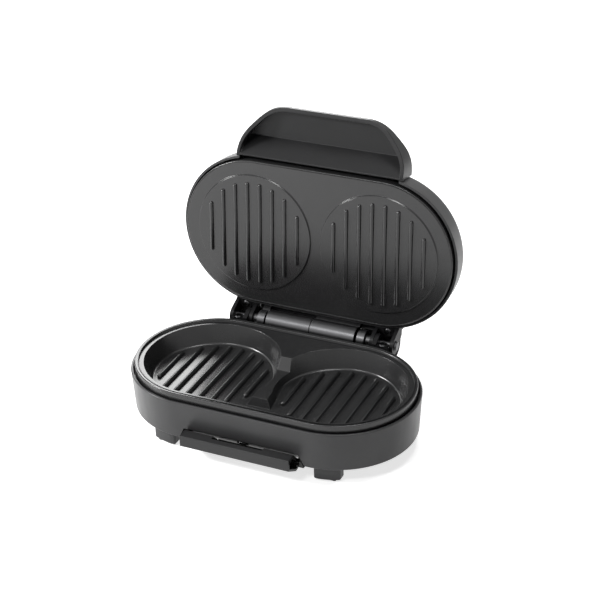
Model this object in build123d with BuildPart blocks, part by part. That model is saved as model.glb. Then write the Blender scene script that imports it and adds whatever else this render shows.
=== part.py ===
from build123d import *
import os
from math import cos, radians, sin, sqrt, tan

# Twin electric burger maker, standing open.
# Sizes are in millimetres. Heights are above the table. Every piece of the lid is drawn where it lies
# when the lid is shut, on a frame that is turned open about the hinge.

# Burger places
BURGER_X = 64.5            # each burger's centre from the middle
RIB_PITCH = 13.0
RIB_COUNT = 8              # ribs in each burger place
RIB_END_R = 52.3           # the ribs end on this circle
FLOOR_Z = 39.0             # floor of the lower pockets
FLOOR_R = 58.0
POCKET_R = 65.0            # pocket's edge at the plate's field
POCKET_FILLET = 2.5
LOWER_RIB_WIDTH = 4.4
LOWER_RIB_HEIGHT = 3.2
DISC_R = 60.0              # raised disc of the upper plate
DISC_STEP = 1.5
UPPER_RIB_WIDTH = 3.4
UPPER_RIB_HEIGHT = 1.7
RIDGE_Z = 47.0             # ridge between the two pockets
RAMP_Y = (19.5, 27.0)      # the ridge climbs to the plate's field here
RIDGE_NOSE_Y = (-18.0, -32.5, -36.0)
RIDGE_NOSE_HALF = (6.2, 7.5, 9.4, 12.0)

# Shells
SHELL_R = 77.5             # round ends of both shells at their rims
SHELL_WALL = 2.5
SHELL_DRAFT = 3.5          # degrees
SHELL_BOTTOM = 14.0
LOWER_RIM_Z = 53.0
LID_RIM_Z = 64.0
LID_TOP_Z = 93.5
LID_SHOULDER = 12.5
SEAT_Z = 44.0              # ledge that carries the lower plate's posts
UPPER_SEAT_Z = 75.0
SEAT_THICK = 2.5

# Plates
PLATE_GAP = 1.5            # dark line between plate and shell
PLATE_WALL = 3.0
PLATE_SKIRT = 2.5
BEAD_WIDTH = 4.0
BEAD_TOP_Z = 60.0
FIELD_DROP = 2.3           # the lower plate's field lies below its bead
SKIRT_BOTTOM_Z = 48.5
LID_CLEARANCE = 0.4        # upper plate above the lower bead
UPPER_SKIRT_TOP_Z = 70.0
DRAIN_Y = -52.0
DRAIN_R = 3.6
DRAIN_WALL = 2.0

# Hinge
HINGE_Y = 89.2             # pivot behind the middle of the burger places
HINGE_Z = 55.2
OPEN_ANGLE = 93.2          # degrees
PIN_R = 3.0
PIN_HEAD_R = 5.0
RUNNING_GAP = 0.05
BARREL_R = 11.0
BARREL = (0.4, 46.5)       # from and to along the pin, on either side
KNUCKLE = (49.0, 56.5)
KNUCKLE_R = 9.5
BUSH = (57.0, 61.9)
BUSH_R = 5.5
LID_ARM_IN = (62.3, 65.8)
BASE_ARM = (66.4, 70.6)
LID_ARM_OUT = (83.0, 86.5)
ARM_R = 8.8
LEAF = 2.3
LOWER_PAD = (51.0, 58.5)   # heights of the bracket's foot on the housing
UPPER_PAD = (63.2, 71.5)
LOWER_PAD_X = (66.4, 82.4)
LOWER_EAR_X = (71.4, 82.4)
EAR_BACK_Y = 84.0
EAR_DEPTH = 9.0
LOWER_SCREW = (76.5, 80.3)
UPPER_SCREW = (75.5, 79.4)
BOSS_RING = (5.2, 4.1, 0.8)  # outer radius, inner radius and height of the rim round a hinge screw

# Handle
HANDLE_FRONT = 122.6
HANDLE_HALF = 85.0
HANDLE_FLAT = 40.0
HANDLE_ROOT_Y = -79.0
HANDLE_RIM = 3.6
HANDLE_LIP_Z = 64.8
HANDLE_LIP_Y = -77.8
HANDLE_FRONT_Z = 85.6
HANDLE_TOP_Z = 92.6
HANDLE_CREASE = (-91.0, 87.0)
HANDLE_ROOF_Z = 88.4
HANDLE_EDGE = 4.0
HANDLE_SCREW_Z = 81.2
LIP_THICK = 1.5

# Drip tray in its bay under the front
TRAY_FRONT = 90.0
TRAY_HALF = 54.5
TRAY_TOP_Z = 27.0
TRAY_TOP_BACK = 79.0
TRAY_FACE = 11.0           # height of the grip's face
TRAY_KEEL = (-73.0, 5.8)
TRAY_BACK_Z = 10.5
TRAY_WALL = 2.2
TRAY_END = 8.0             # the end walls stand this far inside the open ends
TRAY_GAP = 1.5
TRAY_FIN = (3.2, 1.6, 15.0)  # width, thickness and height of the fins that ride on the rails
NOTCH_HALF = 25.0
NOTCH_Y = (-83.0, -67.0)
BAY_FLARE = 7.3            # the bay's cheeks lean out by this much
BAY_SIDE = 1.2
BAY_WALL = 2.2

# Feet
FOOT_X = 82.0
FOOT_FRONT_Y = -64.0
FOOT_REAR_Y = 66.0
FOOT_SIZE = (24.0, 15.0)
FOOT_BOTTOM = 1.2
PAD_THICK = 2.2
PAD_INSET = 2.5

# Screws, fits and inner pieces
SCREW_R = 1.9
HEAD_R = 3.4
HEAD_H = 2.0
FIT = 0.2                  # clearance between pieces that are assembled
POST_R = 3.2
POST_ANGLE = 40.0
BOSS_R = 4.6
BOSS_ANGLE = 38.0
REAR_BOSS_X = 22.0
BOSS_HEIGHT = 16.0
COVER_LIFT = 0.6
COVER_THICK = 2.2
VENT_SIZE = (26.0, 3.0)
VENT_PITCH = 8.0
ELEMENT_R = 3.3
ELEMENT_PATH_R = 44.0
ELEMENT_GAP = 8.0
TERMINAL_R = 1.6
TERMINAL_DROP = 4.0
SHIELD_THICK = 0.8
SHIELD_R = 61.0
SHIELD_RIM = 4.0
SHIELD_Z = 25.0
UPPER_SHIELD_Z = 73.4
STUD_R = 3.0
GLAND_X = -44.0
GLAND_Z = 25.0
GLAND_R = 6.0
GLAND_BORE = 3.4
LAMP_X = 12.0
LAMP_Y = -40.0
LENS_R = 3.4

# The origin is on the table, under the middle of the open object
FRAME_Y = -24.0

PLATE_R = SHELL_R - SHELL_WALL - PLATE_GAP
INNER_R = SHELL_R - SHELL_WALL
FIELD_Z = BEAD_TOP_Z - FIELD_DROP
UPPER_FIELD_Z = BEAD_TOP_Z + LID_CLEARANCE
DISC_Z = UPPER_FIELD_Z - DISC_STEP
POST_RING_R = PLATE_R - PLATE_SKIRT - POST_R + 1.0
SEAT_R = FLOOR_R + PLATE_WALL + 3.0
COVER_Z = SHELL_BOTTOM + COVER_LIFT
POCKET_SLANT = (POCKET_R - FLOOR_R) / (FIELD_Z - FLOOR_Z)

# The tray's back and the bay's ceiling run at 45 degrees, so y + z is the same all along each of them
TRAY_SLOPE = TRAY_TOP_Z - TRAY_TOP_BACK
BAY_SLOPE = TRAY_SLOPE + TRAY_GAP * sqrt(2)
BAY_TOP_Z = TRAY_TOP_Z + TRAY_GAP
BAY_TOP_HALF = TRAY_HALF + BAY_SIDE

base_frame = Plane(origin=(0, FRAME_Y, 0), x_dir=(1, 0, 0), z_dir=(0, 0, 1))
turn = radians(OPEN_ANGLE)
lid_frame = Plane(
    origin=(
        0,
        FRAME_Y + HINGE_Y - HINGE_Y * cos(turn) - HINGE_Z * sin(turn),
        HINGE_Z + HINGE_Y * sin(turn) - HINGE_Z * cos(turn),
    ),
    x_dir=(1, 0, 0),
    z_dir=(0, sin(turn), cos(turn)),
)


def place(frame, x, y, z):
    """A point given in the frame's own directions."""
    return frame.origin + frame.x_dir * x + frame.y_dir * y + frame.z_dir * z


def side(frame, x=0.0):
    """Plane across the length at x, drawn in the frame's y and z."""
    return Plane(origin=place(frame, x, 0, 0), x_dir=frame.y_dir, z_dir=frame.x_dir)


def front(frame, y=0.0):
    """Plane that faces the front at y, drawn in the frame's x and z."""
    return Plane(origin=place(frame, 0, y, 0), x_dir=frame.x_dir, z_dir=-frame.y_dir)


def facing(frame, x, y, z, direction):
    """Plane at a point, facing along the given direction."""
    return Plane(origin=place(frame, x, y, z), x_dir=frame.x_dir, z_dir=direction)


def height_axis(frame):
    return Axis(frame.origin, frame.z_dir)


def drafted(radius, rim_z, z):
    """Radius of a drafted wall at a height."""
    return radius - abs(z - rim_z) * tan(radians(SHELL_DRAFT))


def outline(radius, mode=Mode.ADD):
    """Shells, plates and covers share this outline with round ends."""
    return SlotCenterToCenter(2 * BURGER_X, 2 * radius, mode=mode)


def around(radius, angle):
    """The same place on each quarter of the round ends."""
    x = BURGER_X + radius * cos(radians(angle))
    y = radius * sin(radians(angle))
    return [(x, y), (-x, y), (x, -y), (-x, -y)]


def burger_ribs(width):
    """Slots for the ribs of both burger places, drawn in the open sketch."""
    for burger_x in (-BURGER_X, BURGER_X):
        for index in range(RIB_COUNT):
            x = (index - (RIB_COUNT - 1) / 2) * RIB_PITCH
            with Locations((burger_x + x, 0)):
                SlotOverall(2 * sqrt(RIB_END_R**2 - x**2), width, rotation=90)


def screw(plane, length, head_r=HEAD_R):
    """Pan head screw, with the plane under its head and facing out of it."""
    with BuildSketch(plane) as head:
        Circle(head_r)
    extrude(head.sketch, amount=HEAD_H, taper=15)
    with BuildSketch(plane) as shank:
        Circle(SCREW_R)
    extrude(shank.sketch, amount=-length)


def hole(plane, radius, length):
    """Round hole that goes into the material behind the plane."""
    with BuildSketch(plane) as round_hole:
        Circle(radius)
    extrude(round_hole.sketch, amount=-length, mode=Mode.SUBTRACT)


def export(builder, name):
    builder.part.label = name
    export_step(builder.part, f"parts/{name}.step")


os.makedirs("parts", exist_ok=True)

posts = around(POST_RING_R, POST_ANGLE)
drain = Plane(origin=place(base_frame, 0, DRAIN_Y, FLOOR_Z - 0.5), x_dir=(1, 0, 0), z_dir=(0, 1, 1))
drain_length = ((DRAIN_Y + FLOOR_Z - 0.5) - (TRAY_SLOPE + 1.0)) / sqrt(2)
boss_ring_r = drafted(INNER_R, LOWER_RIM_Z, SHELL_BOTTOM) - HEAD_R - FIT
bosses = around(boss_ring_r, BOSS_ANGLE) + [(-REAR_BOSS_X, boss_ring_r), (REAR_BOSS_X, boss_ring_r)]


def ear(frame, sign, screw_place, low_z, high_z, span):
    """Lug behind a shell's wall that takes a hinge screw."""
    middle = sign * (span[0] + span[1]) / 2
    with BuildSketch(frame.offset(low_z)) as lug:
        with Locations((sign * screw_place[0], screw_place[1])):
            Circle(BOSS_RING[0])
        with Locations((middle, SHELL_R - EAR_DEPTH)):
            Rectangle(span[1] - span[0], 0.5)
        with Locations((middle, screw_place[1])):
            Rectangle(span[1] - span[0], 0.5)
        make_hull()
    extrude(lug.sketch, amount=high_z - low_z)


def tray_bay(grow):
    """Room for the tray in the housing's front, with its slanted ceiling and flared cheeks."""
    top_z = BAY_TOP_Z + grow
    top_half = BAY_TOP_HALF + grow
    low_half = BAY_TOP_HALF + BAY_FLARE + grow
    slope = BAY_SLOPE + grow * sqrt(2)
    reach = TRAY_FRONT + 20
    with BuildPart() as bay:
        with BuildSketch(front(base_frame, -reach)):
            Polygon(
                (-low_half, 0), (low_half, 0), (low_half, SHELL_BOTTOM), (top_half, top_z),
                (-top_half, top_z), (-low_half, SHELL_BOTTOM), align=None,
            )
        extrude(amount=-reach)
        with BuildSketch(side(base_frame)):
            Polygon((-reach, 0), (slope, 0), (slope - top_z, top_z), (-reach, top_z), align=None)
        extrude(amount=low_half, both=True, mode=Mode.INTERSECT)
    return bay.part


def pocket_form(wall, top_z):
    """Both pockets and the channel that joins them at the front, grown by a wall."""
    floor_z = FLOOR_Z - wall
    growth = wall * sqrt(1 + POCKET_SLANT**2)
    floor_r = FLOOR_R + growth - wall * POCKET_SLANT
    top_r = FLOOR_R + growth + (top_z - FLOOR_Z) * POCKET_SLANT
    with BuildPart() as form:
        for x in (-BURGER_X, BURGER_X):
            with BuildSketch(Plane(origin=place(base_frame, x, 0, 0), x_dir=(1, 0, 0), z_dir=(0, -1, 0))) as half:
                Polygon((0, floor_z), (floor_r, floor_z), (top_r, top_z), (0, top_z), align=None)
                corner = half.vertices().sort_by(Axis.Z)[0:2].sort_by(Axis.X)[-1]
                fillet(corner, POCKET_FILLET + wall)
            revolve(axis=Axis(place(base_frame, x, 0, 0), (0, 0, 1)))
        with BuildSketch(side(base_frame)) as channel:
            back_y = RIDGE_NOSE_Y[0] + wall
            Polygon((-top_r, top_z), (-floor_r, floor_z), (back_y, floor_z), (back_y, top_z), align=None)
            corner = channel.vertices().sort_by(Axis.Z)[0:2].sort_by(Axis.Y)[0]
            fillet(corner, POCKET_FILLET + wall)
        extrude(amount=BURGER_X, both=True)
    return form.part


# Lower housing: a drafted wall with the plate's seat, screw bosses, hinge ears and the tray's bay
with BuildPart() as housing_cavity:
    with BuildSketch(base_frame.offset(LOWER_RIM_Z)):
        outline(INNER_R)
    extrude(amount=SHELL_BOTTOM - LOWER_RIM_Z, taper=SHELL_DRAFT)
    add(tray_bay(BAY_WALL), mode=Mode.SUBTRACT)

with BuildPart() as lower_housing:
    with BuildSketch(base_frame.offset(LOWER_RIM_Z)):
        outline(SHELL_R)
    extrude(amount=SHELL_BOTTOM - LOWER_RIM_Z, taper=SHELL_DRAFT)
    fillet(lower_housing.edges().group_by(Axis.Z)[-1], 1.2)
    chamfer(lower_housing.edges().group_by(Axis.Z)[0], 1.0)
    for sign in (-1, 1):
        ear(base_frame, sign, LOWER_SCREW, LOWER_PAD[0] - EAR_DEPTH, LOWER_PAD[0], LOWER_EAR_X)
    add(housing_cavity.part, mode=Mode.SUBTRACT)
    add(tray_bay(0), mode=Mode.SUBTRACT)
    with BuildSketch(base_frame.offset(SEAT_Z)):
        outline(drafted(INNER_R, LOWER_RIM_Z, SEAT_Z) + 0.5)
        outline(SEAT_R, mode=Mode.SUBTRACT)
    extrude(amount=-SEAT_THICK)
    with BuildSketch(base_frame.offset(COVER_Z + COVER_THICK)):
        with Locations(*bosses):
            Circle(BOSS_R)
    extrude(amount=BOSS_HEIGHT)
    for x, y in bosses:
        hole(base_frame.offset(COVER_Z + COVER_THICK).shift_origin(place(base_frame, x, y, COVER_Z + COVER_THICK)),
             SCREW_R + RUNNING_GAP, -BOSS_HEIGHT + 2)
    for x, y in posts:
        hole(facing(base_frame, x, y, SEAT_Z, base_frame.z_dir), SCREW_R + FIT, SEAT_THICK)
    for sign in (-1, 1):
        hole(facing(base_frame, sign * LOWER_SCREW[0], LOWER_SCREW[1], LOWER_PAD[0], base_frame.z_dir),
             SCREW_R + RUNNING_GAP, EAR_DEPTH)
    hole(facing(base_frame, GLAND_X, SHELL_R + 5, GLAND_Z, base_frame.y_dir), GLAND_R + FIT, 12)
    hole(drain, DRAIN_R + DRAIN_WALL + 2 * FIT, drain_length + 10)
export(lower_housing, "lower_housing")

# Bottom cover with two rows of vents
with BuildPart() as bottom_cover:
    with BuildSketch(base_frame.offset(COVER_Z)):
        outline(drafted(INNER_R, LOWER_RIM_Z, COVER_Z) - FIT)
        for x in (-BURGER_X, BURGER_X):
            with Locations((x, 0)):
                with GridLocations(VENT_SIZE[0] + 8, VENT_PITCH, 2, 7):
                    SlotOverall(*VENT_SIZE, mode=Mode.SUBTRACT)
        with Locations(*bosses):
            Circle(SCREW_R + FIT, mode=Mode.SUBTRACT)
    extrude(amount=COVER_THICK)
    add(tray_bay(BAY_WALL + FIT), mode=Mode.SUBTRACT)
export(bottom_cover, "bottom_cover")

with BuildPart() as bottom_cover_screws:
    for x, y in bosses:
        screw(facing(base_frame, x, y, COVER_Z, -base_frame.z_dir), COVER_THICK + BOSS_HEIGHT - 4)
export(bottom_cover_screws, "bottom_cover_screws")

# Lower plate: two round pockets joined by a channel at the front, ribs, ridge and a raised bead
with BuildPart() as ridge_cut:
    with BuildSketch(side(base_frame)):
        Polygon(
            (RIDGE_NOSE_Y[0] - 0.1, RIDGE_Z), (RAMP_Y[0], RIDGE_Z), (RAMP_Y[1], FIELD_Z),
            (RAMP_Y[1], BEAD_TOP_Z), (RIDGE_NOSE_Y[0] - 0.1, BEAD_TOP_Z), align=None,
        )
    extrude(amount=2 * RIDGE_NOSE_HALF[3], both=True)

with BuildPart() as lower_plate:
    with BuildSketch(base_frame.offset(BEAD_TOP_Z)):
        outline(PLATE_R)
    extrude(amount=SKIRT_BOTTOM_Z - BEAD_TOP_Z)
    with BuildSketch(base_frame.offset(BEAD_TOP_Z)):
        outline(PLATE_R - BEAD_WIDTH)
    extrude(amount=-FIELD_DROP, mode=Mode.SUBTRACT)
    fillet(lower_plate.edges().group_by(Axis.Z)[-1], BEAD_WIDTH / 2 - 0.4)
    with BuildSketch(base_frame.offset(SKIRT_BOTTOM_Z)):
        outline(PLATE_R - PLATE_SKIRT)
    extrude(amount=FIELD_Z - PLATE_WALL - SKIRT_BOTTOM_Z, mode=Mode.SUBTRACT)
    add(pocket_form(PLATE_WALL, FIELD_Z - 0.5))
    with BuildSketch(side(base_frame)):
        Polygon(
            (RIDGE_NOSE_Y[0] - PLATE_WALL, RIDGE_Z - PLATE_WALL), (RAMP_Y[0] + PLATE_WALL, RIDGE_Z - PLATE_WALL),
            (RAMP_Y[1] + PLATE_WALL, FIELD_Z - 0.5), (RIDGE_NOSE_Y[0] - PLATE_WALL, FIELD_Z - 0.5), align=None,
        )
    extrude(amount=2 * RIDGE_NOSE_HALF[3], both=True)
    with BuildSketch(base_frame.offset(SEAT_Z)):
        with Locations(*posts):
            Circle(POST_R)
    extrude(amount=FIELD_Z - 1.0 - SEAT_Z)
    with BuildSketch(base_frame.offset(SHIELD_Z + SHIELD_THICK)):
        with Locations((-BURGER_X, 0), (BURGER_X, 0)):
            Circle(STUD_R)
    extrude(amount=FLOOR_Z - 1.0 - SHIELD_Z - SHIELD_THICK)
    with BuildSketch(drain):
        Circle(DRAIN_R + DRAIN_WALL)
    extrude(amount=-drain_length)
    add(pocket_form(0, BEAD_TOP_Z), mode=Mode.SUBTRACT)
    add(ridge_cut.part, mode=Mode.SUBTRACT)
    with BuildSketch(base_frame.offset(FLOOR_Z)):
        Polygon(
            (-RIDGE_NOSE_HALF[2], RIDGE_NOSE_Y[0] + 2), (-RIDGE_NOSE_HALF[3], RIDGE_NOSE_Y[2]),
            (RIDGE_NOSE_HALF[3], RIDGE_NOSE_Y[2]), (RIDGE_NOSE_HALF[2], RIDGE_NOSE_Y[0] + 2), align=None,
        )
    with BuildSketch(base_frame.offset(RIDGE_Z)):
        Polygon(
            (-RIDGE_NOSE_HALF[0], RIDGE_NOSE_Y[0] + 2), (-RIDGE_NOSE_HALF[1], RIDGE_NOSE_Y[1]),
            (RIDGE_NOSE_HALF[1], RIDGE_NOSE_Y[1]), (RIDGE_NOSE_HALF[0], RIDGE_NOSE_Y[0] + 2), align=None,
        )
    loft(ruled=True)
    with BuildSketch(base_frame.offset(FLOOR_Z - 0.2)):
        burger_ribs(LOWER_RIB_WIDTH)
    extrude(amount=LOWER_RIB_HEIGHT + 0.2, taper=9)
    hole(drain.offset(8), DRAIN_R, drain_length + 10)
    for x, y in posts:
        hole(facing(base_frame, x, y, SEAT_Z, -base_frame.z_dir), SCREW_R + RUNNING_GAP, 9)
    for x in (-BURGER_X, BURGER_X):
        hole(facing(base_frame, x, 0, SHIELD_Z + SHIELD_THICK, -base_frame.z_dir), SCREW_R + RUNNING_GAP, 8)
export(lower_plate, "lower_plate")

with BuildPart() as lower_plate_screws:
    for x, y in posts:
        screw(facing(base_frame, x, y, SEAT_Z - SEAT_THICK, -base_frame.z_dir), SEAT_THICK + 8)
export(lower_plate_screws, "lower_plate_screws")


def element(frame, z, terminal_z):
    """Tubular element that runs round both burger places and ends in two terminal pins."""
    half = ELEMENT_GAP
    with BuildPart() as tube:
        with BuildLine(frame.offset(z)) as path:
            Line((half, ELEMENT_PATH_R), (BURGER_X, ELEMENT_PATH_R))
            ThreePointArc(
                (BURGER_X, ELEMENT_PATH_R), (BURGER_X + ELEMENT_PATH_R, 0), (BURGER_X, -ELEMENT_PATH_R))
            Line((BURGER_X, -ELEMENT_PATH_R), (-BURGER_X, -ELEMENT_PATH_R))
            ThreePointArc(
                (-BURGER_X, -ELEMENT_PATH_R), (-BURGER_X - ELEMENT_PATH_R, 0), (-BURGER_X, ELEMENT_PATH_R))
            Line((-BURGER_X, ELEMENT_PATH_R), (-half, ELEMENT_PATH_R))
        with BuildSketch(Plane(origin=place(frame, half, ELEMENT_PATH_R, z), x_dir=frame.y_dir, z_dir=frame.x_dir)):
            Circle(ELEMENT_R)
        sweep()
        for x in (-half, half):
            with BuildSketch(facing(frame, x * 1.3, ELEMENT_PATH_R, z, frame.z_dir)):
                Circle(TERMINAL_R)
            extrude(amount=terminal_z - z)
    return tube


def shield(frame, z, rim, studs):
    """Pressed reflector with a turned rim, held at the burger centres."""
    with BuildPart() as pan:
        with BuildSketch(frame.offset(z)):
            outline(SHIELD_R)
        extrude(amount=SHIELD_THICK)
        with BuildSketch(frame.offset(z + (SHIELD_THICK if rim < 0 else 0))):
            outline(SHIELD_R)
            outline(SHIELD_R - SHIELD_THICK, mode=Mode.SUBTRACT)
        extrude(amount=rim)
        for x in (-BURGER_X, BURGER_X):
            hole(facing(frame, x, 0, z + SHIELD_THICK, frame.z_dir), studs, SHIELD_THICK)
        for x in (-ELEMENT_GAP * 1.3, ELEMENT_GAP * 1.3):
            hole(facing(frame, x, ELEMENT_PATH_R, z + SHIELD_THICK, frame.z_dir), TERMINAL_R + 1.5, SHIELD_THICK)
    return pan


element_z = FLOOR_Z - PLATE_WALL - ELEMENT_R - FIT / 2
lower_heating_element = element(base_frame, element_z, SHIELD_Z - TERMINAL_DROP)
export(lower_heating_element, "lower_heating_element")

lower_heat_shield = shield(base_frame, SHIELD_Z, SHIELD_RIM, SCREW_R + FIT)
with BuildPart() as lower_shield_cut:
    add(lower_heat_shield.part)
    with BuildSketch(base_frame.offset(SHIELD_Z)):
        with Locations((0, -SHIELD_R)):
            Rectangle(6 * DRAIN_R, 6 * DRAIN_R)
    extrude(amount=SHIELD_RIM, mode=Mode.SUBTRACT)
export(lower_shield_cut, "lower_heat_shield")

with BuildPart() as lower_shield_screws:
    for x in (-BURGER_X, BURGER_X):
        screw(facing(base_frame, x, 0, SHIELD_Z, -base_frame.z_dir), 8)
export(lower_shield_screws, "lower_shield_screws")

# Thermostat and thermal fuse, both pressed against the underside of the lower plate
plate_back_z = FLOOR_Z - PLATE_WALL
with BuildPart() as thermostat:
    with BuildSketch(facing(base_frame, 0, -28, plate_back_z - FIT / 2, -base_frame.z_dir)):
        Circle(9.5)
    extrude(amount=6.5)
    fillet(thermostat.edges().group_by(Axis.Z)[0], 1.0)
    with BuildSketch(facing(base_frame, 0, -28, plate_back_z - 4, -base_frame.z_dir)):
        with GridLocations(26, 1, 2, 1):
            Rectangle(9, 5)
    extrude(amount=1.0)
export(thermostat, "thermostat")

with BuildPart() as thermal_fuse:
    with BuildSketch(side(base_frame, 22)):
        with Locations((-22, plate_back_z - 2.2 - FIT / 2)):
            Circle(2.2)
    extrude(amount=12)
    with BuildSketch(side(base_frame, 14)):
        with Locations((-22, plate_back_z - 2.2 - FIT / 2)):
            Circle(0.7)
    extrude(amount=28)
export(thermal_fuse, "thermal_fuse")

with BuildPart() as terminal_block:
    with BuildSketch(base_frame.offset(COVER_Z + COVER_THICK)):
        with Locations((GLAND_X + 4, 46)):
            RectangleRounded(34, 14, 2)
    extrude(amount=6.0)
    with BuildSketch(base_frame.offset(COVER_Z + COVER_THICK + 6.0)):
        with Locations((GLAND_X + 4, 46)):
            with GridLocations(10, 7, 3, 2):
                Circle(1.9)
    extrude(amount=-3.0, mode=Mode.SUBTRACT)
export(terminal_block, "terminal_block")

# Cord gland in the back wall: flange outside, collar inside
with BuildPart() as cord_gland:
    wall_y = drafted(SHELL_R, LOWER_RIM_Z, GLAND_Z)
    with BuildSketch(facing(base_frame, GLAND_X, wall_y + 0.5, GLAND_Z, base_frame.y_dir)):
        Circle(GLAND_R + 2.5)
    extrude(amount=2.5)
    fillet(cord_gland.edges().group_by(Axis.Y)[-1], 1.2)
    with BuildSketch(facing(base_frame, GLAND_X, wall_y + 0.5, GLAND_Z, base_frame.y_dir)):
        Circle(GLAND_R)
    extrude(amount=-SHELL_WALL - 4)
    hole(facing(base_frame, GLAND_X, wall_y + 4, GLAND_Z, base_frame.y_dir), GLAND_BORE, 14)
export(cord_gland, "cord_gland")

# Feet, each with a rubber pad let into it
foot_places = {
    "front_left_foot": (-FOOT_X, FOOT_FRONT_Y),
    "front_right_foot": (FOOT_X, FOOT_FRONT_Y),
    "rear_left_foot": (-FOOT_X, FOOT_REAR_Y),
    "rear_right_foot": (FOOT_X, FOOT_REAR_Y),
}
foot_r = drafted(INNER_R, LOWER_RIM_Z, COVER_Z) - 2 * FIT
for name, (x, y) in foot_places.items():
    with BuildPart() as foot:
        with BuildSketch(base_frame.offset(FOOT_BOTTOM)):
            with Locations((x, y)):
                Rectangle(*FOOT_SIZE)
            outline(foot_r, mode=Mode.INTERSECT)
        extrude(amount=COVER_Z - FOOT_BOTTOM)
        fillet(foot.edges().filter_by(Axis.Z), 2.0)
        fillet(foot.edges().group_by(Axis.Z)[0], 1.8)
        with BuildSketch(base_frame.offset(FOOT_BOTTOM)):
            with Locations((x, y)):
                RectangleRounded(FOOT_SIZE[0] - 3 * PAD_INSET, FOOT_SIZE[1] - 3 * PAD_INSET, 2)
        extrude(amount=PAD_THICK - FOOT_BOTTOM, mode=Mode.SUBTRACT)
    export(foot, name)
    with BuildPart() as pad:
        with BuildSketch(base_frame):
            with Locations((x, y)):
                RectangleRounded(FOOT_SIZE[0] - 3 * PAD_INSET - 0.4, FOOT_SIZE[1] - 3 * PAD_INSET - 0.4, 1.8)
        extrude(amount=PAD_THICK)
    export(pad, name + "_pad")

# Drip tray: grip, trough with walls near its open ends, notch under the drain and two fins
keel_y, keel_z = TRAY_KEEL
with BuildPart() as tray_core:
    with BuildSketch(side(base_frame)) as tray_section:
        with BuildLine():
            FilletPolyline(
                (-TRAY_TOP_BACK, TRAY_TOP_Z), (-TRAY_FRONT, TRAY_TOP_Z), (-TRAY_FRONT, TRAY_TOP_Z - TRAY_FACE),
                (keel_y, keel_z), (TRAY_SLOPE - TRAY_BACK_Z, TRAY_BACK_Z),
                radius=[1.0, 1.0, 1.0, 6.0, 4.5], close=True,
            )
        make_face()
        offset(amount=-TRAY_WALL)
    extrude(amount=TRAY_HALF, both=True)

with BuildPart() as drip_tray:
    with BuildSketch(side(base_frame)):
        with BuildLine():
            FilletPolyline(
                (-TRAY_TOP_BACK, TRAY_TOP_Z), (-TRAY_FRONT, TRAY_TOP_Z), (-TRAY_FRONT, TRAY_TOP_Z - TRAY_FACE),
                (keel_y, keel_z), (TRAY_SLOPE - TRAY_BACK_Z, TRAY_BACK_Z),
                radius=[1.0, 1.0, 1.0, 6.0, 4.5], close=True,
            )
        make_face()
    extrude(amount=TRAY_HALF, both=True)
    add(tray_core.part, mode=Mode.SUBTRACT)
    for sign in (-1, 1):
        wall_x = sign * (TRAY_HALF - TRAY_END)
        with BuildSketch(side(base_frame, min(wall_x, wall_x - sign * TRAY_WALL))):
            with BuildLine():
                FilletPolyline(
                    (-TRAY_TOP_BACK, TRAY_TOP_Z), (-TRAY_FRONT, TRAY_TOP_Z),
                    (-TRAY_FRONT, TRAY_TOP_Z - TRAY_FACE), (keel_y, keel_z),
                    (TRAY_SLOPE - TRAY_BACK_Z, TRAY_BACK_Z),
                    radius=[1.0, 1.0, 1.0, 6.0, 4.5], close=True,
                )
            make_face()
        extrude(amount=TRAY_WALL)
        fin_width, fin_thick, fin_z = TRAY_FIN
        with BuildSketch(base_frame.offset(fin_z)):
            with Locations((sign * (TRAY_HALF + (fin_width - 1) / 2), -70.0)):
                Rectangle(fin_width + 1, 7.0)
        extrude(amount=fin_thick)
    with BuildSketch(side(base_frame)):
        Polygon(
            (NOTCH_Y[0], TRAY_TOP_Z + 1), (NOTCH_Y[0], TRAY_TOP_Z - TRAY_WALL - 0.5),
            (TRAY_SLOPE - 4.5 - TRAY_TOP_Z + TRAY_WALL + 0.5, TRAY_TOP_Z - TRAY_WALL - 0.5),
            (NOTCH_Y[1] - 3, TRAY_SLOPE - 4.5 - NOTCH_Y[1] + 3), (NOTCH_Y[1], TRAY_SLOPE - NOTCH_Y[1] + 2),
            (TRAY_SLOPE - TRAY_TOP_Z + 2, TRAY_TOP_Z + 1), align=None,
        )
    extrude(amount=NOTCH_HALF, both=True, mode=Mode.SUBTRACT)
export(drip_tray, "drip_tray")

# Rails on the bay's cheeks, which the tray's fins ride on
fin_width, fin_thick, fin_z = TRAY_FIN
for name, sign in (("tray_rail_left", -1), ("tray_rail_right", 1)):
    with BuildPart() as rail:
        with BuildSketch(front(base_frame, -76.0)):
            low_half = BAY_TOP_HALF + BAY_FLARE
            Polygon(
                (sign * (TRAY_HALF + 0.8), fin_z - 2.1), (sign * (low_half + 2), fin_z - 2.1),
                (sign * (low_half + 2), fin_z + 4), (sign * (TRAY_HALF + fin_width + 0.5), fin_z + 4),
                (sign * (TRAY_HALF + fin_width + 0.5), fin_z - 0.3), (sign * (TRAY_HALF + 0.8), fin_z - 0.3),
                align=None,
            )
        extrude(amount=-14.0)
        add(tray_bay(-FIT / 2), mode=Mode.INTERSECT)
    export(rail, name)


def hinge_leaf(frame, strip, webs, rings):
    """Leaf along a shell's back wall with its share of the barrel, bored for the pin."""
    with BuildPart() as leaf:
        with BuildSketch(side(frame, -KNUCKLE[1])):
            Polygon(*strip, align=None)
        extrude(amount=2 * KNUCKLE[1])
        for (start, end), radius in rings:
            with BuildSketch(side(frame, start)):
                Polygon(*webs, align=None)
                with Locations((HINGE_Y, HINGE_Z)):
                    Circle(radius)
            extrude(amount=end - start)
        with BuildSketch(side(frame, -KNUCKLE[1] - 1)):
            with Locations((HINGE_Y, HINGE_Z)):
                Circle(PIN_R + RUNNING_GAP)
        extrude(amount=2 * KNUCKLE[1] + 2, mode=Mode.SUBTRACT)
    return leaf


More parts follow.
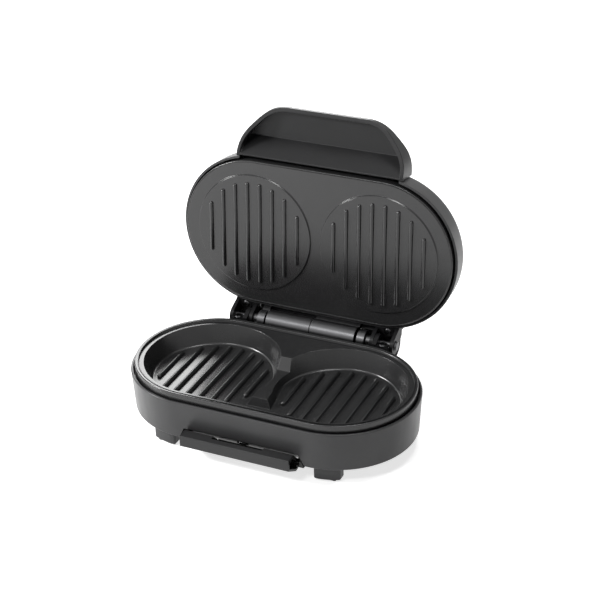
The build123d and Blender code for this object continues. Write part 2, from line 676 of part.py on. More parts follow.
def lower_wall_y(z):
    return drafted(SHELL_R, LOWER_RIM_Z, z) + FIT


def upper_wall_y(z):
    return drafted(SHELL_R, LID_RIM_Z, z) + FIT


left_barrel = (-BARREL[1], -BARREL[0])
right_barrel = BARREL
left_knuckle = (-KNUCKLE[1], -KNUCKLE[0])
right_knuckle = KNUCKLE

base_hinge_leaf = hinge_leaf(
    base_frame,
    [(lower_wall_y(36), 36), (lower_wall_y(46), 46), (lower_wall_y(46) + LEAF, 46), (lower_wall_y(36) + LEAF, 36)],
    [
        (lower_wall_y(36), 36), (lower_wall_y(50), 50), (HINGE_Y - BARREL_R + 2, HINGE_Z - 2),
        (HINGE_Y, HINGE_Z - KNUCKLE_R + 1), (HINGE_Y - 5, 43), (lower_wall_y(40) + LEAF + 1, 40),
        (lower_wall_y(36) + LEAF, 36),
    ],
    [(left_barrel, BARREL_R), (right_knuckle, KNUCKLE_R)],
)
export(base_hinge_leaf, "base_hinge_leaf")

lid_hinge_leaf = hinge_leaf(
    lid_frame,
    [(upper_wall_y(67), 67), (upper_wall_y(79), 79), (upper_wall_y(79) + LEAF, 79), (upper_wall_y(67) + LEAF, 67)],
    [
        (upper_wall_y(79), 79), (upper_wall_y(65), 65), (HINGE_Y - BARREL_R + 3, HINGE_Z + 4),
        (HINGE_Y, HINGE_Z + KNUCKLE_R - 1), (HINGE_Y - 4, 67), (upper_wall_y(72) + LEAF + 1, 72),
        (upper_wall_y(79) + LEAF, 79),
    ],
    [(right_barrel, BARREL_R), (left_knuckle, KNUCKLE_R)],
)
export(lid_hinge_leaf, "lid_hinge_leaf")


def arm(frame, sign, span, pad_z):
    """Bracket arm from the pad to its eye on the pin."""
    low, high = sorted((sign * span[0], sign * span[1]))
    with BuildSketch(side(frame, low)) as profile:
        with Locations((HINGE_Y, HINGE_Z)):
            Circle(ARM_R)
        with Locations(((SHELL_R - 2 + EAR_BACK_Y) / 2, (pad_z[0] + pad_z[1]) / 2)):
            Rectangle(EAR_BACK_Y - SHELL_R + 2, pad_z[1] - pad_z[0])
        make_hull()
    extrude(profile.sketch, amount=high - low)


def pin_bore(frame, radius):
    with BuildSketch(side(frame, -LID_ARM_OUT[1] - 5)) as bore:
        with Locations((HINGE_Y, HINGE_Z)):
            Circle(radius)
    extrude(bore.sketch, amount=2 * LID_ARM_OUT[1] + 10, mode=Mode.SUBTRACT)


for name, sign in (("base_hinge_bracket_left", -1), ("base_hinge_bracket_right", 1)):
    with BuildPart() as bracket:
        ear(base_frame, sign, LOWER_SCREW, LOWER_PAD[0], LOWER_PAD[1], LOWER_PAD_X)
        arm(base_frame, sign, BASE_ARM, LOWER_PAD)
        screw_x, screw_y = LOWER_SCREW
        with BuildSketch(base_frame.offset(LOWER_PAD[1])):
            with Locations((sign * screw_x, screw_y)):
                Circle(BOSS_RING[0])
        extrude(amount=BOSS_RING[2])
        hole(facing(base_frame, sign * screw_x, screw_y, LOWER_PAD[1] + BOSS_RING[2], base_frame.z_dir),
             BOSS_RING[1], BOSS_RING[2] + 0.4)
        hole(facing(base_frame, sign * screw_x, screw_y, LOWER_PAD[1], base_frame.z_dir), SCREW_R + FIT, 9)
        with BuildSketch(base_frame.offset(LOWER_PAD[0] - 5)):
            outline(SHELL_R + FIT)
        extrude(amount=20, mode=Mode.SUBTRACT)
        pin_bore(base_frame, PIN_R + RUNNING_GAP)
    export(bracket, name)

for name, sign in (("lid_hinge_bracket_left", -1), ("lid_hinge_bracket_right", 1)):
    with BuildPart() as bracket:
        ear(lid_frame, sign, UPPER_SCREW, UPPER_PAD[0], UPPER_PAD[1], (LID_ARM_IN[0], LID_ARM_OUT[1]))
        arm(lid_frame, sign, LID_ARM_IN, UPPER_PAD)
        arm(lid_frame, sign, LID_ARM_OUT, UPPER_PAD)
        screw_x, screw_y = UPPER_SCREW
        with BuildSketch(facing(lid_frame, sign * screw_x, screw_y, UPPER_PAD[0], -lid_frame.z_dir)):
            Circle(BOSS_RING[0])
        extrude(amount=BOSS_RING[2])
        hole(facing(lid_frame, sign * screw_x, screw_y, UPPER_PAD[0] - BOSS_RING[2], -lid_frame.z_dir),
             BOSS_RING[1], BOSS_RING[2] + 0.4)
        hole(facing(lid_frame, sign * screw_x, screw_y, UPPER_PAD[0], -lid_frame.z_dir), SCREW_R + FIT, 9)
        with BuildSketch(lid_frame.offset(LID_RIM_Z - 10)):
            outline(SHELL_R + FIT)
        extrude(amount=25, mode=Mode.SUBTRACT)
        pin_bore(lid_frame, PIN_R + RUNNING_GAP)
    export(bracket, name)

with BuildPart() as base_hinge_screws:
    for sign in (-1, 1):
        screw(facing(base_frame, sign * LOWER_SCREW[0], LOWER_SCREW[1], LOWER_PAD[1] - 0.4, base_frame.z_dir),
              LOWER_PAD[1] - LOWER_PAD[0] + EAR_DEPTH - 2)
export(base_hinge_screws, "base_hinge_screws")

with BuildPart() as lid_hinge_screws:
    for sign in (-1, 1):
        screw(facing(lid_frame, sign * UPPER_SCREW[0], UPPER_SCREW[1], UPPER_PAD[0] + 0.4, -lid_frame.z_dir),
              UPPER_PAD[1] - UPPER_PAD[0] + EAR_DEPTH - 2)
export(lid_hinge_screws, "lid_hinge_screws")

with BuildPart() as hinge_pin:
    with BuildSketch(side(base_frame, -LID_ARM_OUT[1] - 0.3)):
        with Locations((HINGE_Y, HINGE_Z)):
            Circle(PIN_R)
    extrude(amount=2 * LID_ARM_OUT[1] + 0.6)
    for sign in (-1, 1):
        with BuildSketch(Plane(
                origin=place(base_frame, sign * (LID_ARM_OUT[1] + 0.3), HINGE_Y, HINGE_Z),
                x_dir=(0, 1, 0), z_dir=(sign, 0, 0))):
            Circle(PIN_HEAD_R)
        extrude(amount=1.8, taper=25)
export(hinge_pin, "hinge_pin")

with BuildPart() as hinge_bushes:
    for low in (-BUSH[1], BUSH[0]):
        with BuildSketch(side(base_frame, low)):
            with Locations((HINGE_Y, HINGE_Z)):
                Circle(BUSH_R)
                Circle(PIN_R + RUNNING_GAP, mode=Mode.SUBTRACT)
        extrude(amount=BUSH[1] - BUSH[0])
export(hinge_bushes, "hinge_bushes")

# Upper housing: shouldered lid shell with the plate's seat, hinge ears and a gap in its front rim
lid_height = LID_TOP_Z - LID_RIM_Z
with BuildPart() as lid_envelope:
    with BuildSketch(lid_frame.offset(LID_RIM_Z)):
        outline(SHELL_R)
    extrude(amount=lid_height, taper=SHELL_DRAFT)
    fillet(lid_envelope.edges().group_by(height_axis(lid_frame))[-1], LID_SHOULDER)

with BuildPart() as lid_cavity:
    with BuildSketch(lid_frame.offset(LID_RIM_Z)):
        outline(INNER_R)
    extrude(amount=lid_height - SHELL_WALL, taper=SHELL_DRAFT)
    fillet(lid_cavity.edges().group_by(height_axis(lid_frame))[-1], LID_SHOULDER - SHELL_WALL)

with BuildPart() as lip_gap:
    with BuildSketch(lid_frame.offset(LID_RIM_Z - 1)):
        with Locations((0, -SHELL_R)):
            Rectangle(2 * HANDLE_HALF - 2 * HANDLE_RIM, 12)
    extrude(amount=8.5)

with BuildPart() as upper_housing:
    add(lid_envelope.part)
    for sign in (-1, 1):
        ear(lid_frame, sign, UPPER_SCREW, UPPER_PAD[1], UPPER_PAD[1] + EAR_DEPTH, (LID_ARM_IN[0], LID_ARM_OUT[1]))
    add(lid_cavity.part, mode=Mode.SUBTRACT)
    add(lip_gap.part, mode=Mode.SUBTRACT)
    with BuildSketch(lid_frame.offset(UPPER_SEAT_Z)):
        outline(drafted(INNER_R, LID_RIM_Z, UPPER_SEAT_Z) + 0.5)
        outline(SEAT_R, mode=Mode.SUBTRACT)
    extrude(amount=SEAT_THICK)
    for x, y in posts:
        hole(facing(lid_frame, x, y, UPPER_SEAT_Z + SEAT_THICK, lid_frame.z_dir), SCREW_R + FIT, SEAT_THICK)
    for sign in (-1, 1):
        hole(facing(lid_frame, sign * UPPER_SCREW[0], UPPER_SCREW[1], UPPER_PAD[1], -lid_frame.z_dir),
             SCREW_R + RUNNING_GAP, EAR_DEPTH)
        hole(facing(lid_frame, sign * LAMP_X, LAMP_Y, LID_TOP_Z, lid_frame.z_dir), LENS_R + FIT / 2, SHELL_WALL + 1)
        hole(facing(lid_frame, sign * HANDLE_FLAT, -SHELL_R, HANDLE_SCREW_Z, -lid_frame.y_dir), SCREW_R + FIT, 6)
export(upper_housing, "upper_housing")

# Handle: a scoop in front of the lid, open downwards, with its wedge of a wall against the lid
def handle_outline(inset):
    half = HANDLE_HALF - inset
    reach = HANDLE_FRONT - inset
    with BuildLine() as rim:
        Line((-half, HANDLE_ROOT_Y + 20), (-half, HANDLE_ROOT_Y))
        Spline((-half, HANDLE_ROOT_Y), (-72.0 + inset * 0.8, -106.6 + inset * 0.8), (-HANDLE_FLAT, -reach),
               tangents=((0, -1), (1, 0)))
        Line((-HANDLE_FLAT, -reach), (HANDLE_FLAT, -reach))
        Spline((HANDLE_FLAT, -reach), (72.0 - inset * 0.8, -106.6 + inset * 0.8), (half, HANDLE_ROOT_Y),
               tangents=((1, 0), (0, 1)))
        Line((half, HANDLE_ROOT_Y), (half, HANDLE_ROOT_Y + 20))
        Line((half, HANDLE_ROOT_Y + 20), (-half, HANDLE_ROOT_Y + 20))
    make_face(rim.edges())


with BuildPart() as scoop:
    with BuildSketch(lid_frame.offset(LID_RIM_Z - 10)):
        handle_outline(HANDLE_RIM)
    extrude(amount=40)
    with BuildSketch(side(lid_frame)):
        Polygon(
            (HANDLE_LIP_Y, LID_RIM_Z - 5), (HANDLE_LIP_Y, HANDLE_LIP_Z), HANDLE_CREASE,
            (-HANDLE_FRONT, HANDLE_ROOF_Z), (-HANDLE_FRONT, LID_RIM_Z - 5), align=None,
        )
    extrude(amount=HANDLE_HALF, both=True, mode=Mode.INTERSECT)

with BuildPart() as handle_back:
    with BuildSketch(lid_frame.offset(LID_RIM_Z - 5)):
        outline(SHELL_R + FIT)
    extrude(amount=7.5 + 5)
    with BuildSketch(lid_frame.offset(LID_RIM_Z - 5)):
        with Locations((0, -SHELL_R - FIT)):
            Rectangle(2 * HANDLE_HALF - 2 * HANDLE_RIM - 2 * FIT, 2 * LIP_THICK)
    extrude(amount=7.5 + 5, mode=Mode.SUBTRACT)
    with BuildSketch(lid_frame.offset(LID_RIM_Z + 7.5)):
        outline(drafted(SHELL_R, LID_RIM_Z, LID_RIM_Z + 7.5) + FIT)
    extrude(amount=lid_height - 7.5, taper=SHELL_DRAFT)

with BuildPart() as lid_handle:
    with BuildSketch(lid_frame.offset(HANDLE_TOP_Z)):
        handle_outline(0)
    extrude(amount=LID_RIM_Z - HANDLE_TOP_Z)
    fillet(lid_handle.edges().group_by(height_axis(lid_frame))[-1]
           .sort_by(Axis(lid_frame.origin, lid_frame.y_dir))[:-1], HANDLE_EDGE)
    with BuildSketch(side(lid_frame)):
        Polygon(
            (-50, HANDLE_LIP_Z), (HANDLE_ROOT_Y, HANDLE_LIP_Z), (-HANDLE_FRONT - 1, HANDLE_FRONT_Z),
            (-HANDLE_FRONT - 1, LID_RIM_Z - 1), (-50, LID_RIM_Z - 1), align=None,
        )
    extrude(amount=HANDLE_HALF + 1, both=True, mode=Mode.SUBTRACT)
    add(handle_back.part, mode=Mode.SUBTRACT)
    add(scoop.part, mode=Mode.SUBTRACT)
    for sign in (-1, 1):
        hole(facing(lid_frame, sign * HANDLE_FLAT, -SHELL_R + 2, HANDLE_SCREW_Z, lid_frame.y_dir), SCREW_R + RUNNING_GAP, 8)
export(lid_handle, "lid_handle")

with BuildPart() as handle_screws:
    inner_y = 1.0 - drafted(INNER_R, LID_RIM_Z, HANDLE_SCREW_Z)
    for sign in (-1, 1):
        screw(facing(lid_frame, sign * HANDLE_FLAT, inner_y, HANDLE_SCREW_Z, lid_frame.y_dir), 8)
export(handle_screws, "handle_screws")

# Upper plate: raised discs with low ribs, and a skirt behind the field
with BuildPart() as upper_plate:
    with BuildSketch(lid_frame.offset(UPPER_FIELD_Z)):
        outline(PLATE_R)
    extrude(amount=UPPER_SKIRT_TOP_Z - UPPER_FIELD_Z)
    fillet(upper_plate.edges().group_by(height_axis(lid_frame))[0], 2.0)
    with BuildSketch(lid_frame.offset(UPPER_SKIRT_TOP_Z)):
        outline(PLATE_R - PLATE_SKIRT)
    extrude(amount=UPPER_FIELD_Z + PLATE_WALL - UPPER_SKIRT_TOP_Z, mode=Mode.SUBTRACT)
    with BuildSketch(lid_frame.offset(UPPER_FIELD_Z)):
        with Locations((-BURGER_X, 0), (BURGER_X, 0)):
            Circle(DISC_R)
    extrude(amount=-DISC_STEP, taper=30)
    with BuildSketch(lid_frame.offset(DISC_Z)):
        burger_ribs(UPPER_RIB_WIDTH)
    extrude(amount=-UPPER_RIB_HEIGHT, taper=15)
    with BuildSketch(lid_frame.offset(UPPER_FIELD_Z + 1)):
        with Locations(*posts):
            Circle(POST_R)
    extrude(amount=UPPER_SEAT_Z - UPPER_FIELD_Z - 1)
    with BuildSketch(lid_frame.offset(UPPER_FIELD_Z + 1)):
        with Locations((-BURGER_X, 0), (BURGER_X, 0)):
            Circle(STUD_R)
    extrude(amount=UPPER_SHIELD_Z - UPPER_FIELD_Z - 1)
    for x, y in posts:
        hole(facing(lid_frame, x, y, UPPER_SEAT_Z, lid_frame.z_dir), SCREW_R + RUNNING_GAP, 9)
    for x in (-BURGER_X, BURGER_X):
        hole(facing(lid_frame, x, 0, UPPER_SHIELD_Z, lid_frame.z_dir), SCREW_R + RUNNING_GAP, 8)
export(upper_plate, "upper_plate")

with BuildPart() as upper_plate_screws:
    for x, y in posts:
        screw(facing(lid_frame, x, y, UPPER_SEAT_Z + SEAT_THICK, lid_frame.z_dir), SEAT_THICK + 8)
export(upper_plate_screws, "upper_plate_screws")

upper_element_z = UPPER_FIELD_Z + PLATE_WALL + ELEMENT_R + FIT / 2
upper_heating_element = element(lid_frame, upper_element_z, UPPER_SHIELD_Z + TERMINAL_DROP)
export(upper_heating_element, "upper_heating_element")

upper_heat_shield = shield(lid_frame, UPPER_SHIELD_Z, -SHIELD_RIM, SCREW_R + FIT)
export(upper_heat_shield, "upper_heat_shield")

with BuildPart() as upper_shield_screws:
    for x in (-BURGER_X, BURGER_X):
        screw(facing(lid_frame, x, 0, UPPER_SHIELD_Z + SHIELD_THICK, lid_frame.z_dir), 8)
export(upper_shield_screws, "upper_shield_screws")

with BuildPart() as upper_terminal_block:
    with BuildSketch(lid_frame.offset(UPPER_SHIELD_Z + SHIELD_THICK)):
        with Locations((0, 26)):
            RectangleRounded(24, 12, 2)
    extrude(amount=8)
export(upper_terminal_block, "upper_terminal_block")

# Lamps: a clear lens in the lid's top over each neon lamp
for name, sign in (("power_lamp", -1), ("ready_lamp", 1)):
    with BuildPart() as lens:
        with BuildSketch(lid_frame.offset(LID_TOP_Z - SHELL_WALL)):
            with Locations((sign * LAMP_X, LAMP_Y)):
                Circle(LENS_R)
        extrude(amount=SHELL_WALL + 0.6)
        fillet(lens.edges().group_by(height_axis(lid_frame))[-1], 0.5)
        with BuildSketch(lid_frame.offset(LID_TOP_Z - SHELL_WALL)):
            with Locations((sign * LAMP_X, LAMP_Y)):
                Circle(LENS_R + 1.2)
        extrude(amount=-1.0)
    export(lens, name + "_lens")
    with BuildPart() as lamp:
        with BuildSketch(lid_frame.offset(LID_TOP_Z - SHELL_WALL - 1.1)):
            with Locations((sign * LAMP_X, LAMP_Y)):
                Circle(2.6)
        extrude(amount=-9)
    export(lamp, name)
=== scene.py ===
"""Looks of a twin electric burger maker that stands open on a pale table.

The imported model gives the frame. Pieces are drawn in millimetres where they lie on the base, or on the
shut lid, and a Body puts them into the frame. Finishes are procedural and read Object coordinates.
"""
import logging
import math
from dataclasses import dataclass, field
from enum import Enum
from typing import Callable, Optional, Sequence

import bmesh
import bpy
from mathutils import Matrix, Vector


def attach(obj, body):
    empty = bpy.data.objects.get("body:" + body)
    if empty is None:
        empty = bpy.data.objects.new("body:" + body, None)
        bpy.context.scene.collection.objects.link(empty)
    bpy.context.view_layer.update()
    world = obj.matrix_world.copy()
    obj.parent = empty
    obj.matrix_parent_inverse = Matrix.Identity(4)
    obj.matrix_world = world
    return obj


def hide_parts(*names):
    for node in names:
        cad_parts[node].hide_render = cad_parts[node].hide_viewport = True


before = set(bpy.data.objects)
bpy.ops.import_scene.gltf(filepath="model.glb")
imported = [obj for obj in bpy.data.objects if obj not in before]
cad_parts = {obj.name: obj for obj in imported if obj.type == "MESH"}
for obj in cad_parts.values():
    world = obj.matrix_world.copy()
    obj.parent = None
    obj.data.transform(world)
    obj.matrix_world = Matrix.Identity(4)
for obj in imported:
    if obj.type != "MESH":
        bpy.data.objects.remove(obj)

LOG = logging.getLogger("burger_maker")
MM = 0.001
FRAME_Y = -24.0
HINGE_Y = 89.2
HINGE_Z = 55.2
OPEN_ANGLE = 93.2
WELD = 2e-6
SLIVER = 1e-7
FLAT_ANGLE = 0.6
SHARP_ANGLE = 32.0
ROUND_ANGLE = 60.0
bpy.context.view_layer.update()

Mesh = bpy.types.Mesh
Socket = bpy.types.NodeSocket
Point = tuple[float, float, float]
Range = tuple[float, float]
Outline = Sequence[tuple[float, float]]
Box = tuple[Vector, Vector]


class Body(Enum):
    """The rigid bodies of the appliance."""

    BASE = "base"
    LID = "lid"
    TRAY = "tray"

    def place(self) -> Matrix:
        """Matrix from a drawing in millimetres to the frame in metres."""
        scale = Matrix.Scale(MM, 4)
        if self is not Body.LID:
            return scale @ Matrix.Translation((0, FRAME_Y, 0))
        hinge = Matrix.Translation((0, FRAME_Y + HINGE_Y, HINGE_Z))
        swing = Matrix.Rotation(-math.radians(OPEN_ANGLE), 4, "X")
        return scale @ hinge @ swing @ Matrix.Translation((0, -HINGE_Y, -HINGE_Z))


# Finishes


class Wiring:
    """A node tree under construction."""

    def __init__(self, tree: bpy.types.NodeTree) -> None:
        """Starts on a tree."""
        self.tree = tree

    def feed(self, socket: Socket, value: object) -> None:
        """Wires a socket to another one, or gives it a plain value; None leaves it as it is."""
        if isinstance(value, Socket):
            self.tree.links.new(value, socket)
        elif value is not None:
            socket.default_value = value

    def node(self, kind: str, values: Optional[dict[str, object]] = None, **options: object) -> Socket:
        """Adds a node.

        Args:
            kind: its type.
            values: what its inputs get, by name.
            options: its own settings.

        Returns:
            Its first output.
        """
        node = self.tree.nodes.new(kind)
        for option, choice in options.items():
            setattr(node, option, choice)
        for label, value in (values or {}).items():
            self.feed(node.inputs[label], value)
        return node.outputs[0]

    def math(self, kind: str, first: object, second: object = None) -> Socket:
        """A Math node on sockets or numbers."""
        node = self.tree.nodes.new("ShaderNodeMath")
        node.operation = kind
        self.feed(node.inputs[0], first)
        self.feed(node.inputs[1], second)
        return node.outputs[0]

    def times(self, first: object, second: object) -> Socket:
        """The product of two sockets or numbers."""
        return self.math("MULTIPLY", first, second)

    def ramp(self, value: Socket, span: Range = (0.3, 0.7), to: Range = (0.0, 1.0)) -> Socket:
        """Maps a range of values to another, clamped."""
        return self.node("ShaderNodeMapRange", {
            "Value": value, "From Min": span[0], "From Max": span[1], "To Min": to[0], "To Max": to[1]})

    def background_rays(self) -> Socket:
        """1 for the rays that show the background, seen, mirrored or through glass, and 0 for light."""
        rays = self.tree.nodes.new("ShaderNodeLightPath").outputs
        seen = self.math("MAXIMUM", rays["Is Camera Ray"], rays["Is Glossy Ray"])
        return self.math("MAXIMUM", seen, rays["Is Transmission Ray"])


class Graph(Wiring):
    """One material's nodes round a Principled shader."""

    def __init__(self, name: str) -> None:
        """Starts a material.

        Args:
            name: the material's name.
        """
        self.material = bpy.data.materials.new(name)
        self.material.use_nodes = True
        super().__init__(self.material.node_tree)
        self.shader = self.tree.nodes["Principled BSDF"]
        self.coords = self.tree.nodes.new("ShaderNodeTexCoord").outputs["Object"]

    def set(self, **sockets: object) -> None:
        """Feeds the shader's sockets; underscores in names stand for spaces."""
        for name, value in sockets.items():
            self.feed(self.shader.inputs[name.replace("_", " ")], value)

    def stretched(self, scale: Point) -> Socket:
        """Object coordinates, stretched per axis."""
        return self.node("ShaderNodeMapping", {"Scale": scale, "Vector": self.coords})

    def noise(self, size_mm: float, detail: float = 2.0, roughness: float = 0.5,
              vector: Optional[Socket] = None) -> Socket:
        """Noise of a given size.

        Args:
            size_mm: width of one patch.
            detail: octaves.
            roughness: share of the finer octaves.
            vector: where the noise is read, or the Object coordinates.

        Returns:
            The noise, from 0 to 1.
        """
        return self.node("ShaderNodeTexNoise", {
            "Scale": 1.0 / (size_mm * MM), "Detail": detail, "Roughness": roughness,
            "Vector": vector or self.coords})

    def cells(self, size_mm: float) -> Socket:
        """Distance to the centres of cells of a given size."""
        return self.node("ShaderNodeTexVoronoi", {"Scale": 1.0 / (size_mm * MM), "Vector": self.coords})

    def blend(self, factor: Socket, first: Point, second: Point) -> Socket:
        """Mixes two colours; in a Mix node they are the inputs 6 and 7 and the output 2."""
        node = self.tree.nodes.new("ShaderNodeMix")
        node.data_type = "RGBA"
        for k, value in ((0, factor), (6, (*first, 1.0)), (7, (*second, 1.0))):
            self.feed(node.inputs[k], value)
        return node.outputs[2]

    def bump(self, height: Socket, depth_mm: float, strength: float) -> Socket:
        """Normals bumped by a pattern from 0 to 1, where 1 stands for the depth."""
        return self.node("ShaderNodeBump", {"Height": height, "Distance": depth_mm * MM, "Strength": strength})

    def finish(self, color: Socket, rough: Socket, normal: Socket) -> bpy.types.Material:
        """Links the three patterns to the shader and returns the material."""
        self.set(Base_Color=color, Roughness=rough, Normal=normal)
        return self.material


def tinted(color: Point, share: float) -> Point:
    """A colour made lighter or darker by a share."""
    return tuple(c * share for c in color)


def shifted(base: float, swing: Range) -> Range:
    """A range of values about a base."""
    return base + swing[0], base + swing[1]


@dataclass(frozen=True)
class MouldedPlastic:
    """Injection moulded plastic with a fine spark-eroded texture."""

    name: str
    color: Point
    roughness: float = 0.36
    grain_mm: float = 0.5
    grain_depth: float = 0.012
    specular: float = 0.3
    flow_mm: float = 38.0
    flow_tints: Range = (0.9, 1.12)
    gloss_mm: float = 24.0
    gloss_swing: Range = (-0.03, 0.03)

    def material(self) -> bpy.types.Material:
        """Builds the material."""
        g = Graph(self.name)
        dark, light = (tinted(self.color, share) for share in self.flow_tints)
        color = g.blend(g.ramp(g.noise(self.flow_mm, detail=3.0)), dark, light)
        gloss = g.noise(self.gloss_mm, detail=4.0, roughness=0.55)
        rough = g.ramp(gloss, to=shifted(self.roughness, self.gloss_swing))
        g.set(Specular_IOR_Level=self.specular)
        return g.finish(color, rough, g.bump(g.cells(self.grain_mm), self.grain_depth, strength=0.5))


@dataclass(frozen=True)
class NonStickCoating:
    """Sprayed coating on cast aluminium, with a soft orange peel."""

    name: str
    color: Point = (0.012, 0.012, 0.0124)
    cured: Point = (0.0145, 0.0145, 0.0149)
    cured_mm: float = 26.0
    roughness: float = 0.25
    gloss_mm: float = 9.0
    gloss_span: Range = (0.25, 0.75)
    gloss_swing: Range = (-0.015, 0.02)
    peel_mm: float = 1.4
    peel_depth: float = 0.004
    specular: float = 0.5

    def material(self) -> bpy.types.Material:
        """Builds the material."""
        g = Graph(self.name)
        color = g.blend(g.ramp(g.noise(self.cured_mm, detail=4.0)), self.color, self.cured)
        gloss = g.noise(self.gloss_mm, detail=3.0, roughness=0.6)
        rough = g.ramp(gloss, self.gloss_span, shifted(self.roughness, self.gloss_swing))
        g.set(Specular_IOR_Level=self.specular)
        return g.finish(color, rough, g.bump(g.noise(self.peel_mm), self.peel_depth, strength=0.4))


@dataclass(frozen=True)
class WorkedMetal:
    """Metal with fine tool marks that run round or along the X axis."""

    name: str
    color: Point
    roughness: float = 0.3
    marks: Point = (1.0, 0.03, 0.03)
    mark_mm: float = 0.5
    mark_depth: float = 0.008
    mark_swing: Range = (-0.03, 0.04)
    stain_mm: float = 14.0
    stain_tint: float = 0.8
    stain_span: Range = (0.35, 0.7)
    stain_share: float = 0.6
    stain_swing: Range = (-0.02, 0.03)

    def material(self) -> bpy.types.Material:
        """Builds the material."""
        g = Graph(self.name)
        lines = g.noise(self.mark_mm, detail=3.0, roughness=0.6, vector=g.stretched(self.marks))
        stain = g.noise(self.stain_mm, detail=3.0)
        share = g.ramp(stain, self.stain_span, (0.0, self.stain_share))
        color = g.blend(share, self.color, tinted(self.color, self.stain_tint))
        rough = g.math("ADD", g.ramp(lines, to=self.mark_swing),
                       g.ramp(stain, to=shifted(self.roughness, self.stain_swing)))
        g.set(Metallic=1.0)
        return g.finish(color, rough, g.bump(lines, self.mark_depth, strength=0.4))


@dataclass(frozen=True)
class SoftRubber:
    """Black rubber with a dry bloom."""

    name: str
    color: Point = (0.012, 0.012, 0.013)
    roughness: Range = (0.68, 0.86)
    wear_mm: float = 2.0
    bloom: Point = (0.03, 0.03, 0.031)
    bloom_mm: float = 4.0
    bloom_span: Range = (0.45, 0.75)
    bloom_share: float = 0.4
    pit_mm: float = 0.6
    pit_depth: float = 0.03

    def material(self) -> bpy.types.Material:
        """Builds the material."""
        g = Graph(self.name)
        bloom = g.noise(self.bloom_mm, detail=5.0, roughness=0.65)
        share = g.ramp(bloom, self.bloom_span, (0.0, self.bloom_share))
        rough = g.ramp(g.noise(self.wear_mm, detail=3.0), to=self.roughness)
        pits = g.bump(g.noise(self.pit_mm, detail=3.0), self.pit_depth, strength=0.5)
        return g.finish(g.blend(share, self.color, self.bloom), rough, pits)


@dataclass(frozen=True)
class FiredCeramic:
    """Off-white steatite with small pores."""

    name: str
    color: Point = (0.72, 0.69, 0.61)
    roughness: Range = (0.45, 0.6)
    firing_mm: float = 3.0
    pore_mm: float = 0.9
    pore_span: Range = (0.05, 0.3)
    pore_tint: float = 0.7
    pore_depth: float = 0.04

    def material(self) -> bpy.types.Material:
        """Builds the material."""
        g = Graph(self.name)
        pores = g.ramp(g.cells(self.pore_mm), self.pore_span)
        color = g.blend(pores, tinted(self.color, self.pore_tint), self.color)
        rough = g.ramp(g.noise(self.firing_mm), to=self.roughness)
        return g.finish(color, rough, g.bump(pores, self.pore_depth, strength=0.5))


@dataclass(frozen=True)
class TintedLens:
    """Clear plastic tinted through, frosted from behind."""

    name: str
    color: Point
    roughness: Range = (0.12, 0.22)
    haze_mm: float = 0.8
    frost_mm: float = 1.8
    frost_span: Range = (0.35, 0.65)
    frost_tint: float = 0.45
    ripple_mm: float = 2.5
    ripple_depth: float = 0.05
    coat: float = 0.8
    coat_roughness: float = 0.05
    glow_through: float = 0.2
    glow_reach: float = 0.002

    def material(self) -> bpy.types.Material:
        """Builds the material."""
        g = Graph(self.name)
        frost = g.ramp(g.noise(self.frost_mm), self.frost_span)
        color = g.blend(frost, tinted(self.color, self.frost_tint), self.color)
        rough = g.ramp(g.noise(self.haze_mm), to=self.roughness)
        g.set(Coat_Weight=self.coat, Coat_Roughness=self.coat_roughness,
              Subsurface_Weight=self.glow_through, Subsurface_Scale=self.glow_reach)
        return g.finish(color, rough, g.bump(g.noise(self.ripple_mm), self.ripple_depth, strength=0.3))


class Finish(Enum):
    """Every finish on the appliance."""

    HOUSING = MouldedPlastic("charcoal_housing_moulding", (0.036, 0.036, 0.037), 0.34)
    # The handle's charcoal is darker than the housing's: partly its own tone, partly painted shade for its scoop,
    # which faces away from the light.
    HANDLE = MouldedPlastic("charcoal_handle_moulding_shade_darkened", (0.014, 0.014, 0.0145), 0.32, specular=0.22)
    TRAY = MouldedPlastic("dark_tray_moulding", (0.02, 0.02, 0.0205), 0.32)
    COVER = MouldedPlastic("dark_cover_moulding", (0.02, 0.02, 0.02), 0.5, grain_mm=0.9, grain_depth=0.03)
    BRACKET = MouldedPlastic("black_bracket_moulding", (0.007, 0.007, 0.0075), grain_mm=0.4, grain_depth=0.005,
                             specular=0.16)
    PLATE = NonStickCoating("nonstick_coated_plate")
    SCREW = WorkedMetal("blackened_screw_steel", (0.05, 0.05, 0.052), marks=(0.6, 0.6, 0.6))
    BARREL = WorkedMetal("dark_turned_steel", (0.1, 0.1, 0.103), 0.34)
    PIN = WorkedMetal("zinc_plated_steel", (0.5, 0.5, 0.51), 0.28, marks=(0.6, 0.6, 0.6))
    SHEATH = WorkedMetal("heat_stained_sheath", (0.2, 0.19, 0.19), 0.45, marks=(0.05, 1.0, 1.0))
    SHEET = WorkedMetal("bright_rolled_sheet", (0.78, 0.78, 0.79), 0.22, marks=(0.04, 1.0, 1.0))
    FUSE = WorkedMetal("plated_fuse_case", (0.62, 0.5, 0.26))
    RUBBER = SoftRubber("bloomed_black_rubber")
    CERAMIC = FiredCeramic("off_white_steatite")
    RED_LENS = TintedLens("red_lamp_lens", (0.5, 0.02, 0.012))
    GREEN_LENS = TintedLens("green_lamp_lens", (0.02, 0.3, 0.05))
    LAMP = TintedLens("neon_lamp_envelope", (0.75, 0.5, 0.38))

    def material(self) -> bpy.types.Material:
        """The finish's material, built when first asked for."""
        return bpy.data.materials.get(self.value.name) or self.value.material()


# Mesh tools


def linked(name: str, data: bpy.types.ID) -> bpy.types.Object:
    """A new object in the scene that holds some data."""
    thing = bpy.data.objects.new(name, data)
    bpy.context.scene.collection.objects.link(thing)
    return thing


